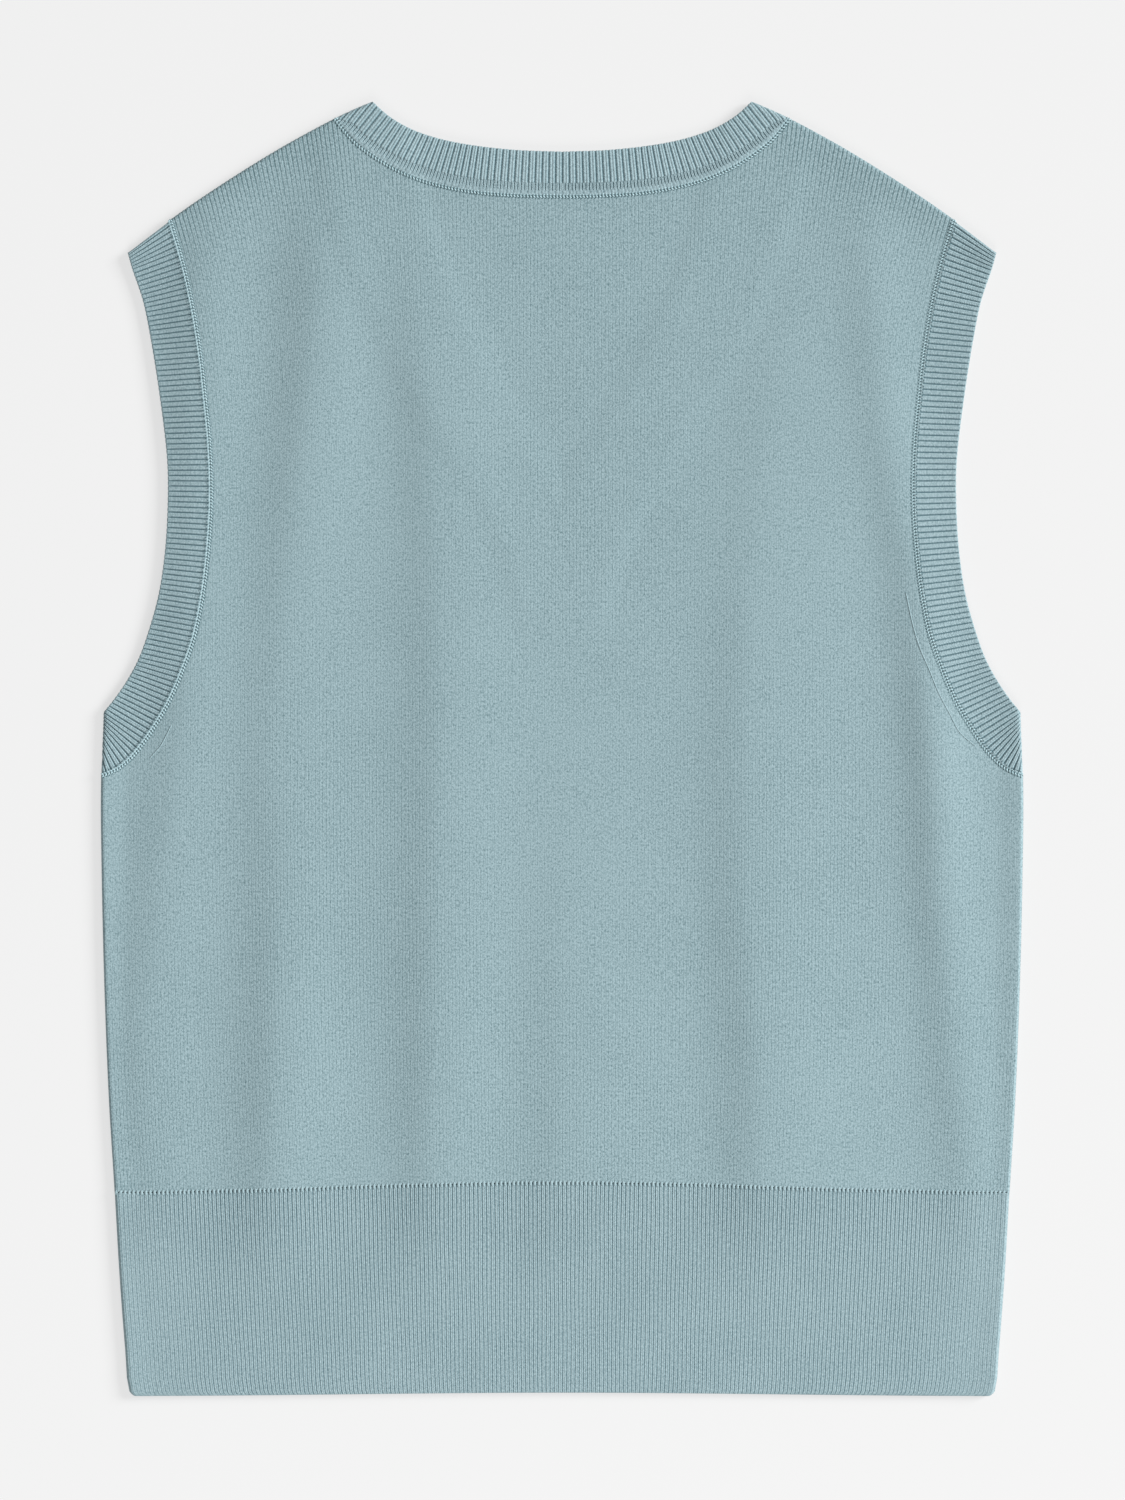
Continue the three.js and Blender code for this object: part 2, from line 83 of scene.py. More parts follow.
floor_mesh = bpy.data.meshes.new("floor")
reach = FLOOR_SIZE / 2
corners = [(-reach, -reach), (reach, -reach), (reach, reach), (-reach, reach)]
floor_mesh.from_pydata([(x, y, -FLOOR_GAP) for x, y in corners], [], [(0, 1, 2, 3)])
floor = bpy.data.objects.new("floor", floor_mesh)
bpy.context.scene.collection.objects.link(floor)
floor_material = bpy.data.materials.new("pale_floor")
floor_material.use_nodes = True
floor_shader = floor_material.node_tree.nodes["Principled BSDF"]
floor_shader.inputs["Base Color"].default_value = FLOOR_COLOUR
floor_shader.inputs["Roughness"].default_value = 1
floor_shader.inputs["Specular IOR Level"].default_value = 0
floor_shader.inputs["Emission Color"].default_value = (1, 1, 1, 1)
floor_shader.inputs["Emission Strength"].default_value = FLOOR_GLOW
floor_mesh.materials.append(floor_material)


def soft_light(name, place, size, power):
    """A square soft box that faces the middle of the vest."""
    light = bpy.data.lights.new(name, "AREA")
    light.size = size
    light.energy = power
    box = bpy.data.objects.new(name, light)
    box.location = place
    box.rotation_euler = box.location.to_track_quat("Z", "Y").to_euler()
    box.visible_camera = False
    bpy.context.scene.collection.objects.link(box)


soft_light("key_light", (9, 3.2, 5.2), 4.2, 1805)
soft_light("fill_light", (0.2, -1.8, 1.5), 1.2, 24)
world = bpy.data.worlds.new("studio")
world.use_nodes = True
world.node_tree.nodes["Background"].inputs["Color"].default_value = (1, 1, 1, 1)
world.node_tree.nodes["Background"].inputs["Strength"].default_value = WORLD_LIGHT
bpy.context.scene.world = world

# The back. One panel of fine plain knit in a blue-grey viscose yarn, knitted to shape, which
# lies on top. Sizes are in mm: the distance out from the centre line, and up from the hem edge.
Line = namedtuple("Line", "half up")
MM = 0.001
LENGTH = 634.6
JERSEY = 1.5
RIB = 1.9
FOLD_HOLLOW = 0.25
FOLD_GAP = 0.05
FOLD_HEIGHT = 2.3
SEAM_GAP = 0.3
SETTLE = 0.45
SETTLE_REACH = 14
EDGE_RADIUS = 0.8
OUTER_DROP = 0.3
INNER_DROP = 0.45
MERGE_DISTANCE = 1e-6
SHOULDER_NORMAL = (0.51, 0.86)


def smooth_line(*rows, step=0.8):
    """A smooth line through points given as (half, up), with points about a step apart."""
    given = np.array(rows, float)
    ends = 2 * given[0] - given[1], 2 * given[-1] - given[-2]
    given = np.vstack([ends[0], given, ends[1]])
    points = []
    for i in range(1, len(given) - 2):
        near = given[i - 1:i + 3]
        spans = np.linalg.norm(np.diff(near, axis=0), axis=1) ** 0.5
        knots = np.concatenate([[0], np.cumsum(spans)])
        count = max(int(np.linalg.norm(near[2] - near[1]) / step), 1)
        at = np.linspace(knots[1], knots[2], count, endpoint=False)[:, None]
        level = list(near)
        for order in (1, 2, 3):
            level = [
                mix_between(level[j], level[j + 1], at, knots, j, order)
                for j in range(len(level) - 1)
            ]
        points.append(level[0])
    points.append(given[-2][None])
    return Line(*np.vstack(points).T)


def mix_between(first, second, at, knots, j, order):
    """One step of the smooth line: the last one mixes between the two middle points alone."""
    low, high = (knots[1], knots[2]) if order == 3 else (knots[j], knots[j + order])
    return first + (second - first) * (at - low) / (high - low)


SIDE = smooth_line(
    (210.0, 0), (212.3, 2.2), (214.3, 22), (217.0, 57), (219.6, 101), (222.3, 145), (224.5, 200),
    (225.8, 255), (226.2, 295), (225.6, 315), (224.9, 335), (224.9, 350),
)
SHOULDER = smooth_line(
    (222, 553.6), (213.0, 560.6), (192.6, 576.4), (171.0, 591.4), (138.7, 611.6), (110.7, 626.8),
    (99.0, 632.2), (93.0, 634.6), (80, 639.5),
)
ARM_SEAM = smooth_line(
    (192.3, 576.6), (185.6, 553.4), (180.5, 529.8), (177.1, 507.8), (175.1, 489.3), (172.9, 466.0),
    (172.2, 438.0), (174.2, 408.7), (176.8, 389.6), (180.6, 371.7), (186.0, 356.2), (192.6, 341.0),
    (199.6, 328.9), (206.4, 319.0), (212.6, 311.8), (218.6, 307.2), (225.9, 304.0),
)
BACK_NECK_SEAM = smooth_line(
    (0, 588.2), (20, 588.6), (40, 590.0), (54.9, 592.4), (69.6, 596.3), (84.3, 602.8),
    (99.0, 612.6), (105.5, 619.0), (111.4, 626.4),
)
FRONT_NECK_SEAM = smooth_line(
    (0, 393.3), (20, 423.0), (40, 453.1), (54.9, 476.5), (69.6, 502.1), (84.3, 533.0),
    (99.0, 572.5), (105.5, 597.5), (111.4, 626.4),
)
FRONT_NECK_EDGE = smooth_line((0, 430.0), (35.5, 484.5), (61.3, 534.5), (80.6, 584.5), (93.0, 634.6))


def half_at(line, up):
    order = np.argsort(line.up)
    return np.interp(up, line.up[order], line.half[order])


def up_at(line, half):
    order = np.argsort(line.half)
    return np.interp(half, line.half[order], line.up[order])


def moved(line, distance):
    """The same line moved to the right of its direction. A point on the centre line stays there."""
    along = np.gradient(np.array(line), axis=1)
    along /= np.linalg.norm(along, axis=0)
    half = line.half + along[1] * distance
    up = line.up - along[0] * distance
    if line.half[0] == 0:
        half[0] = 0
        up[0] = line.up[0] - distance / along[0, 0]
    return Line(half, up)


def ease(share):
    share = np.clip(share, 0, 1)
    return share * share * (3 - 2 * share)


def rounding(distance, radius):
    """Share of its full height that a rounded edge has at a distance from its end."""
    return np.sqrt(1 - np.clip(1 - distance / radius, 0, 1) ** 2)


def fold_at(x, up):
    """Distance from the nearest folded edge, side or shoulder, and the direction out to it."""
    half = np.abs(x)
    to_side = half_at(SIDE, up) - half
    to_shoulder = (up_at(SHOULDER, half) - up) * SHOULDER_NORMAL[1]
    beside = to_side < to_shoulder
    out_x = np.sign(x) * np.where(beside, 1, SHOULDER_NORMAL[0])
    out_y = np.where(beside, 0, SHOULDER_NORMAL[1])
    return np.maximum(np.minimum(to_side, to_shoulder), 0), out_x, out_y


# Soft ridges of the laid back: widths to the left and the right, then height on the vest, X, rise
RIDGES = [
    (16, 22, [
        (110, -200, 1.1), (180, -203, 1.4), (250, -195, 1.4), (320, -185, 1.7), (400, -180, 1.5),
        (470, -178, 1.9), (540, -176, 2), (600, -170, 0.6),
    ]),
    (18, 26, [
        (110, -141, 3.0), (180, -138, 2.5), (250, -136, 1.7), (320, -140, 1.4), (400, -133, 1.6),
        (470, -124, 2.5), (540, -117, 2.7), (595, -116, 0.5),
    ]),
    (18, 34, [
        (110, -62, 2.5), (180, -61, 2.7), (250, -60, 2.1), (320, -58, 1.9), (400, -58, 1.9),
        (470, -62, 2.2), (540, -68, 1.4), (590, -75, 0),
    ]),
    (20, 52, [(110, 2, 1.9), (180, 2, 1.7), (250, 4, 1.1), (340, 5, 0)]),
    (20, 44, [
        (110, 100, 3.2), (180, 98, 3.1), (250, 92, 2.5), (320, 92, 2.2), (400, 96, 1.5),
        (470, 105, 1.2), (540, 115, 0.5), (580, 120, 0),
    ]),
    (14, 16, [
        (110, 199, 1.7), (180, 192, 1.9), (250, 186, 2.6), (320, 182, 3.2), (400, 174, 2.1),
        (470, 160, 1.5), (540, 153, 1.3), (600, 148, 0),
    ]),
]
HEM_FADE = (20, 150)
NECK_PRESS = (18, 30)


def ridge_height(x, up):
    height = 0
    for left, right, points in RIDGES:
        heights, middles, rises = np.array(points, float).T
        away = x - np.interp(up, heights, middles)
        width = np.where(away < 0, left, right)
        height = height + np.interp(up, heights, rises) * np.exp(-(away / width) ** 2)
    return height * ease((up - HEM_FADE[0]) / (HEM_FADE[1] - HEM_FADE[0]))


def clear_of_front_neck(x, up):
    """Share of its sinking that the back keeps over the front's neck band."""
    middle = (half_at(FRONT_NECK_SEAM, up) + np.maximum(half_at(FRONT_NECK_EDGE, up), 0)) / 2
    below = np.maximum(FRONT_NECK_SEAM.up[0] - up, 0)
    away = np.where(below > 0, np.hypot(x, below), np.abs(np.abs(x) - middle))
    return ease((away - NECK_PRESS[0]) / (NECK_PRESS[1] - NECK_PRESS[0]))


def lie(x, up, layer, wall):
    """How far a layer lies above or below its height at a fold."""
    reached = ease(fold_at(x, up)[0] / SETTLE_REACH)
    slack = RIB - wall
    if layer < 0:
        return -slack * reached
    return reached * (ridge_height(x, up) - SETTLE * clear_of_front_neck(x, up) - slack)


def outer_face(x, up, layer, wall, edge, gap=FOLD_GAP):
    """Points on the outside of the cloth, and the direction out of it. Edge is the distance from
    the piece's own edge, where the wall rounds off."""
    radius = FOLD_HOLLOW + wall
    distance, out_x, out_y = fold_at(x, up)
    lift = rounding(distance, radius)
    flat = np.clip(1 - distance / radius, 0, 1)
    z = FOLD_HEIGHT + layer * ((radius + SEAM_GAP / 2) * lift + gap * (1 - lift))
    z = z + lie(x, up, layer, wall)
    z = z - layer * lift * wall * OUTER_DROP * (1 - rounding(edge, EDGE_RADIUS))
    outward = np.stack([out_x * flat, out_y * flat, layer * lift], -1)
    return np.stack([x, up, np.maximum(z, 0)], -1), outward


def inner_face(x, up, layer, wall, edge, gap=FOLD_GAP):
    """Points on the inside of the cloth, a wall's thickness in from every folded edge."""
    distance, out_x, out_y = fold_at(x, up)
    short = np.maximum(wall - distance, 0)
    past = np.maximum(distance - wall, 0)
    z = FOLD_HEIGHT + layer * (gap + FOLD_HOLLOW * rounding(past, FOLD_HOLLOW))
    z = z + lie(x, up, layer, wall)
    z = z + layer * rounding(past, wall) * wall * INNER_DROP * (1 - rounding(edge, EDGE_RADIUS))
    return np.stack([x - out_x * short, up - out_y * short, z], -1)


class Wall:
    """Collects the points and faces of one closed piece of cloth."""

    def __init__(self):
        self.points = []
        self.knit = []
        self.outward = []
        self.faces = []
        self.count = 0

    def add(self, points, knit=None, outward=None):
        """Adds a grid of points and returns the grid of their numbers."""
        shape = points.shape[:-1]
        numbers = np.arange(self.count, self.count + points[..., 0].size).reshape(shape)
        self.count += numbers.size
        for store, values in ((self.points, points), (self.knit, knit), (self.outward, outward)):
            values = np.zeros(points.shape) if values is None else values
            store.append(values.reshape(-1, 3))
        return numbers

    def skin(self, grid):
        """Faces over a grid of point numbers."""
        quads = np.stack([grid[:-1, :-1], grid[:-1, 1:], grid[1:, 1:], grid[1:, :-1]], -1)
        self.faces.extend(quads.reshape(-1, 4).tolist())

    def stitch(self, left, right):
        """Faces between two edges that run side by side and may have different numbers of points."""
        points = np.concatenate(self.points)
        shares = []
        for edge in (left, right):
            steps = np.linalg.norm(np.diff(points[edge][:, :2], axis=0), axis=1) + MERGE_DISTANCE
            run = np.concatenate([[0], np.cumsum(steps)])
            shares.append(run / run[-1])
        i = 0
        j = 0
        while i < len(left) - 1 or j < len(right) - 1:
            next_left = shares[0][i + 1] if i < len(left) - 1 else 2
            next_right = shares[1][j + 1] if j < len(right) - 1 else 2
            if next_left <= next_right:
                self.faces.append([int(left[i]), int(right[j]), int(left[i + 1])])
                i += 1
            else:
                self.faces.append([int(left[i]), int(right[j]), int(right[j + 1])])
                j += 1

    def make(self, name):
        """The piece as an object in metres, with its doubles merged and its faces pointing out."""
        points = np.concatenate(self.points)
        mesh = bpy.data.meshes.new(name)
        place = (points - (0, LENGTH / 2, 0)) * MM
        mesh.from_pydata(place.tolist(), [], self.faces)
        for attribute, values in (("knit", self.knit), ("outward", self.outward)):
            layer = mesh.attributes.new(attribute, "FLOAT_VECTOR", "POINT")
            layer.data.foreach_set("vector", np.concatenate(values).ravel())
        work = bmesh.new()
        work.from_mesh(mesh)
        bmesh.ops.remove_doubles(work, verts=work.verts, dist=MERGE_DISTANCE)
        bmesh.ops.dissolve_degenerate(work, edges=work.edges, dist=MERGE_DISTANCE)
        bmesh.ops.recalc_face_normals(work, faces=work.faces)
        work.to_mesh(mesh)
        work.free()
        piece = bpy.data.objects.new(name, mesh)
        bpy.context.scene.collection.objects.link(piece)
        return piece


WALES_HALF = 129
WALES_INSIDE_ARM = 98
SIDE_WIDEST = 226.2
WALE = SIDE_WIDEST / WALES_HALF
COURSE = 1.25
FAN_START = 400
FAN_RATE = 1.9e-8
ARM_NARROWEST = 438.0
UNDERARM = 304.2
HEM_HALF = 218
# Height of the hem line on the centre line and at the side. Its edges are cut short, not rounded.
HEM_LINE = (104.6, 99.8)
HEM_LINE_TIGHTNESS = 6
PANEL_ROWS = (40, 18)
NEAR_SEAM = (0, 0.12, 0.32, 0.65, 1.2, 2.2)
NEAR_SEAM_INSIDE = (0, 0.4, 0.8, 1.6)
NEAR_FOLD = (2.2, 1.5, 0.8, 0)
SMALL = 0.01
LARGE = 1000
ARM_WALE = WALES_INSIDE_ARM * WALE


def fan_out(wale, up):
    """Wales lean outwards towards the shoulders, where the knitting was widened."""
    rate = FAN_RATE * np.clip(up - FAN_START, SMALL, None) ** 2
    return (1 - np.sqrt(1 - 4 * rate * wale)) / (2 * rate)


def fan_in(half, up):
    """The wale at a distance out, the reverse of fan_out."""
    return half - FAN_RATE * np.clip(up - FAN_START, 0, None) ** 2 * half ** 2


# How far the wales are drawn in or spread at each height, to meet the sides and the armholes
SQUEEZE_UPS = (90, 300, 576)
low_ups = np.linspace(SQUEEZE_UPS[0], SQUEEZE_UPS[1], 16)
high_ups = np.linspace(ARM_NARROWEST, SQUEEZE_UPS[2], 30)
SQUEEZE = Line(
    np.concatenate([
        half_at(SIDE, low_ups) / SIDE_WIDEST,
        (half_at(ARM_SEAM, high_ups) - SEAM_GAP / 2) / fan_out(ARM_WALE, high_ups),
    ]),
    np.concatenate([low_ups, high_ups]),
)


def wale_place(wale, up):
    """X of a wale, given by its distance out at the widest height."""
    return np.sign(wale) * fan_out(np.abs(wale), up) * half_at(SQUEEZE, up)


def wale_at(line):
    """The wale at each point of a line."""
    return fan_in(line.half / half_at(SQUEEZE, line.up), line.up)


def across_hem(x, line):
    """Height of a line across the hem, given by its height at the centre and at the side."""
    return line[0] + (line[1] - line[0]) * ease(np.abs(x) / HEM_HALF)


def rows_between(low, high, near_low, near_high, count):
    """Heights between two lines: close together near both, even in between."""
    first = low + near_low[-1]
    last = high - near_high[-1]
    even = [first + (last - first) * i / count for i in range(1, count)]
    return np.array([low + d for d in near_low] + even + [high - d for d in near_high[::-1]])


def slope_of(line):
    along = np.gradient(np.array(line), axis=1)
    return np.abs(along / np.linalg.norm(along, axis=0))


def edge_of_panel(x, up, neck_seam):
    """Distance from the nearest seam: hem line, armhole or neck."""
    half = np.abs(x)
    arm_lean = half_at(Line(slope_of(ARM_SEAM)[1], ARM_SEAM.up), up)
    to_arm = (half_at(ARM_SEAM, up) - half) * arm_lean
    to_arm = np.where(up > UNDERARM, to_arm, LARGE)
    neck_lean = up_at(Line(neck_seam.half, slope_of(neck_seam)[0]), half)
    to_neck = (up_at(neck_seam, half) - up) * neck_lean
    to_neck = np.where(half < neck_seam.half[-1], to_neck, LARGE)
    to_hem = HEM_LINE_TIGHTNESS * (up - across_hem(x, HEM_LINE))
    return np.maximum(np.minimum(np.minimum(to_arm, to_neck), to_hem) - SEAM_GAP / 2, 0)


WALES_ALL_OVER = 0.16
WALES_LEAST = 0.05
WALES_AT_SHOULDER = 0.8
SHOULDER_FADE = 15
BESIDE_NECK = (90, 30)
WALES_AT_NECK = 0.25
NECK_FADE = 36
WALES_LOW_DOWN = 0.1
LOW_BODY = (330, 160)
WALES_IN_PATCHES = 0.12


def wale_relief(x, up):
    """How clearly the wales stand out: most at the shoulders and under the neck. Both the depth of
    their grooves and the painted shade in them follow it.
    """
    below_shoulder = np.clip(up_at(SHOULDER, np.abs(x)) - up, 0, None)
    below_neck = np.clip(up_at(BACK_NECK_SEAM, np.abs(x)) - up, 0, None)
    relief = WALES_ALL_OVER + WALES_IN_PATCHES * np.sin(x / 37 + 1.3) * np.sin(up / 61 + 0.4)
    relief = relief + WALES_LOW_DOWN * ease((LOW_BODY[0] - up) / LOW_BODY[1])
    beside_neck = ease((np.abs(x) - BESIDE_NECK[0]) / BESIDE_NECK[1])
    relief = relief + WALES_AT_SHOULDER * np.exp(-below_shoulder / SHOULDER_FADE) * beside_neck
    relief = relief + WALES_AT_NECK * np.exp(-below_neck / NECK_FADE)
    return np.clip(relief, WALES_LEAST, 1)


def lay_panel(wall, wales, near, neck_seam, level, layer, face):
    """Adds one side of a panel: rows up to the underarm, and from there to the shoulder."""
    top = moved(neck_seam, SEAM_GAP / 2)
    arm = moved(ARM_SEAM, SEAM_GAP / 2)
    beyond = (SHOULDER.half > top.half[-1] + 1) & (SHOULDER.half < arm.half[0] - 1)
    shoulder = np.array(SHOULDER)[:, beyond][:, ::-1]
    shoulder_end = up_at(SHOULDER, arm.half[0])
    neck_end = up_at(SHOULDER, top.half[-1])
    line = np.hstack([np.array(top)[:, :-1], [[top.half[-1]], [neck_end]], shoulder,
                      [[arm.half[0]], [shoulder_end]]])
    top = Line(*line)
    low_arm = Line(*np.array(arm)[:, arm.up <= ARM_NARROWEST])
    distance = np.abs(wales)
    inside = distance <= ARM_WALE + SMALL
    low = across_hem(wale_place(wales, HEM_LINE[0]), HEM_LINE) + SEAM_GAP / 2
    order = np.argsort(wale_at(low_arm))
    at_arm = np.interp(distance, wale_at(low_arm)[order], low_arm.up[order])
    centre = level + (ARM_NARROWEST - level) * (distance / ARM_WALE)
    middle = np.where(distance < ARM_WALE - SMALL, centre, at_arm)
    high = np.interp(distance[inside], wale_at(top), top.up)
    blocks = (
        (wales, rows_between(low, middle, near, near, PANEL_ROWS[0])),
        (wales[inside], rows_between(middle[inside], high, (0,), near, PANEL_ROWS[1])),
    )
    grids = []
    for block_wales, up in blocks:
        x = wale_place(block_wales, up)
        edge = edge_of_panel(x, up, neck_seam)
        stitches = np.broadcast_to(block_wales / WALE, up.shape)
        if face is outer_face:
            points, outward = outer_face(x, up, layer, JERSEY, edge)
            # The relief sets the depth of the wale grooves and of the painted shade in them
            relief = wale_relief(x, up) * rounding(edge, EDGE_RADIUS)
        else:
            points = inner_face(x, up, layer, JERSEY, edge)
            outward = None
            relief = 0 * up
        knit = np.stack([stitches, up / COURSE, relief], -1)
        grids.append(wall.add(points, knit, outward))
    for grid in grids:
        wall.skin(grid)
    lower, upper = grids
    first = int(np.argmax(inside))
    last = len(wales) - 1 - int(np.argmax(inside[::-1]))
    return [lower[0], lower[:, -1], lower[-1, last:], upper[:, -1], upper[-1],
            upper[:, 0], lower[-1, :first + 1], lower[:, 0]]


def panel(name, neck_seam, level, layer, points):
    wall = Wall()
    fine = np.linspace(-WALES_HALF, WALES_HALF, 2 * WALES_HALF * points + 1) * WALE
    coarse_half = np.concatenate([
        np.linspace(0, ARM_WALE, 26),
        np.linspace(ARM_WALE, SIDE_WIDEST - NEAR_FOLD[0], 9)[1:],
        SIDE_WIDEST - np.array(NEAR_FOLD[1:]),
    ])
    coarse = np.concatenate([-coarse_half[:0:-1], coarse_half])
    outside = lay_panel(wall, fine, NEAR_SEAM, neck_seam, level, layer, outer_face)
    inside = lay_panel(wall, coarse, NEAR_SEAM_INSIDE, neck_seam, level, layer, inner_face)
    for left, right in zip(outside, inside):
        wall.stitch(left, right)
    return wall.make(name)


GROOVE_SHARPNESS = 1.6
LEG_GROOVE_WIDTH = 0.2


def relief_tree():
    """Sinks the cloth between its wales, and a little along the middle of each."""
    tree = bpy.data.node_groups.new("knit_relief", "GeometryNodeTree")
    sockets = tree.interface
    sockets.new_socket("Cloth", in_out="INPUT", socket_type="NodeSocketGeometry")
    for name in ("Groove depth", "Groove width", "Leg groove depth"):
        sockets.new_socket(name, in_out="INPUT", socket_type="NodeSocketFloat")
    sockets.new_socket("Yarn", in_out="INPUT", socket_type="NodeSocketMaterial")
    sockets.new_socket("Cloth", in_out="OUTPUT", socket_type="NodeSocketGeometry")
    given = tree.nodes.new("NodeGroupInput").outputs
    knit = add_node(tree, "GeometryNodeInputNamedAttribute", "knit", data_type="FLOAT_VECTOR")
    outward = add_node(tree, "GeometryNodeInputNamedAttribute", "outward", data_type="FLOAT_VECTOR")
    parts = tree.nodes.new("ShaderNodeSeparateXYZ")
    tree.links.new(knit, parts.inputs[0])
    across = calculate(tree, "FRACT", parts.outputs[0])
    centred = calculate(tree, "ABSOLUTE", calculate(tree, "SUBTRACT", across, 0.5))
    from_valley = calculate(tree, "SUBTRACT", 0.5, centred)
    valley = calculate(tree, "DIVIDE", from_valley, given["Groove width"])
    valley = calculate(tree, "MAXIMUM", calculate(tree, "SUBTRACT", 1, valley), 0)
    valley = calculate(tree, "POWER", valley, GROOVE_SHARPNESS)
    valley = calculate(tree, "MULTIPLY", valley, given["Groove depth"])
    leg = calculate(tree, "SUBTRACT", 1, calculate(tree, "DIVIDE", centred, LEG_GROOVE_WIDTH))
    leg = calculate(tree, "MAXIMUM", leg, 0)
    leg = calculate(tree, "MULTIPLY", leg, given["Leg groove depth"])
    sink = calculate(tree, "MULTIPLY", calculate(tree, "ADD", valley, leg), parts.outputs[2])
    sink = calculate(tree, "MULTIPLY", sink, -MM)
    offset = add_node(tree, "ShaderNodeVectorMath", outward, operation="SCALE")
    scale = offset.node.inputs["Scale"]
    tree.links.new(sink, scale)
    moved_cloth = add_node(tree, "GeometryNodeSetPosition", given["Cloth"], None, None, offset)
    real = add_node(tree, "GeometryNodeRealizeInstances", moved_cloth)
    finished = add_node(tree, "GeometryNodeSetMaterial", real, None, given["Yarn"])
    out = tree.nodes.new("NodeGroupOutput")
    tree.links.new(finished, out.inputs[0])
    return tree


def apply_tree(piece, tree, values):
    """Runs a tree on a piece with its named inputs, and keeps the result as a plain mesh."""
    modifier = piece.modifiers.new("tree", "NODES")
    modifier.node_group = tree
    for socket in tree.interface.items_tree:
        if socket.in_out == "INPUT" and socket.name in values:
            modifier[socket.identifier] = values[socket.name]
    view = bpy.context.evaluated_depsgraph_get()
    mesh = bpy.data.meshes.new_from_object(
        piece.evaluated_get(view), preserve_all_data_layers=True, depsgraph=view
    )
    piece.modifiers.remove(modifier)
    bare = piece.data
    piece.data = mesh
    bpy.data.meshes.remove(bare)
    mesh.materials.clear()
    mesh.materials.append(values["Yarn"])
    mesh.polygons.foreach_set("material_index", np.zeros(len(mesh.polygons), int))
    mesh.shade_smooth()


RELIEF = relief_tree()
FUZZ_SCALE = 1400
BLOTCH_SCALE = 28
BLOTCH_SHADE = 0.18
STITCH_SLANT = 0.75
STITCH_SHADE = 0.22
STITCH_WAVE_SHADE = 0.03
BUMP_HEIGHT = 0.0003


def knit_material(name, light, dark, valley_shade_width, stitch_depth, fleck):
    """Knit yarn. The attribute knit gives wale and course, so the stitches follow the cloth, and the
    relief that sets the painted shade in the valleys between wales.
    """
    material = bpy.data.materials.new(name)
    material.use_nodes = True
    tree = material.node_tree
    shader = tree.nodes["Principled BSDF"]
    shader.inputs["Roughness"].default_value = 0.88
    shader.inputs["Specular IOR Level"].default_value = 0.25
    shader.inputs["Sheen Weight"].default_value = 0.12
    shader.inputs["Sheen Roughness"].default_value = 0.5
    knit = add_node(tree, "ShaderNodeAttribute", attribute_name="knit").node.outputs["Vector"]
    parts = tree.nodes.new("ShaderNodeSeparateXYZ")
    tree.links.new(knit, parts.inputs[0])
    wale, course, relief = parts.outputs
    across = calculate(tree, "SUBTRACT", calculate(tree, "FRACT", wale), 0.5)
    centred = calculate(tree, "MULTIPLY", calculate(tree, "ABSOLUTE", across), 2)
    along = calculate(tree, "SUBTRACT", course, calculate(tree, "MULTIPLY", centred, STITCH_SLANT))
    wave = calculate(tree, "COSINE", calculate(tree, "MULTIPLY", along, 2 * np.pi))
    leg = calculate(tree, "SINE", calculate(tree, "MULTIPLY", centred, np.pi))
    legs = calculate(tree, "MULTIPLY", leg, calculate(tree, "MULTIPLY_ADD", wave, 0.25, 0.75))
    place = tree.nodes.new("ShaderNodeTexCoord").outputs["Object"]
    fuzz = add_node(tree, "ShaderNodeTexNoise", place, None, FUZZ_SCALE, 2, 0.6).node.outputs["Fac"]
    blotch = add_node(tree, "ShaderNodeTexNoise", place, None, BLOTCH_SCALE, 2, 0.5)
    blotch = blotch.node.outputs["Fac"]
    legs_wide = calculate(tree, "MULTIPLY", wale, 2.1)
    loops_high = calculate(tree, "MULTIPLY", course, 1.1)
    loop_place = add_node(tree, "ShaderNodeCombineXYZ", legs_wide, loops_high, 0)
    uneven = add_node(tree, "ShaderNodeTexNoise", loop_place, None, 1, 1, 0.5)
    uneven = uneven.node.outputs["Fac"]
    depth = calculate(tree, "MULTIPLY_ADD", relief, 0.8 * stitch_depth, 0.3 * stitch_depth)
    height = calculate(tree, "MULTIPLY_ADD", fuzz, 1, calculate(tree, "MULTIPLY", legs, depth))
    bump = add_node(tree, "ShaderNodeBump")
    bump.node.inputs["Strength"].default_value = 0.6
    bump.node.inputs["Distance"].default_value = BUMP_HEIGHT
    tree.links.new(height, bump.node.inputs["Height"])
    tree.links.new(bump, shader.inputs["Normal"])
    # Painted shade: near the middle of each valley between wales the colour is mixed towards the dark
    # one, more where the relief is higher
    valley = calculate(tree, "SUBTRACT", centred, 1 - valley_shade_width)
    valley = calculate(tree, "MAXIMUM", calculate(tree, "DIVIDE", valley, valley_shade_width), 0)
    valley = calculate(tree, "MULTIPLY", valley, relief)
    specks = calculate(tree, "SUBTRACT", calculate(tree, "ADD", fuzz, uneven), 1)
    speck = calculate(tree, "MULTIPLY", specks, fleck)
    soft = calculate(tree, "MULTIPLY", calculate(tree, "SUBTRACT", blotch, 0.5), BLOTCH_SHADE)
    shade = calculate(tree, "ADD", calculate(tree, "ADD", valley, speck), soft)
    stitch_shade = calculate(tree, "MULTIPLY_ADD", wave, -STITCH_WAVE_SHADE, STITCH_SHADE)
    shade = calculate(tree, "ADD", shade, stitch_shade)
    colours = tree.nodes.new("ShaderNodeMix")
    colours.data_type = "RGBA"
    tree.links.new(shade, colours.inputs["Factor"])
    mixed = [socket for socket in colours.inputs if socket.type == "RGBA"]
    mixed[0].default_value = light
    mixed[1].default_value = dark
    result = [socket for socket in colours.outputs if socket.type == "RGBA"][0]
    tree.links.new(result, shader.inputs["Base Color"])
    return material
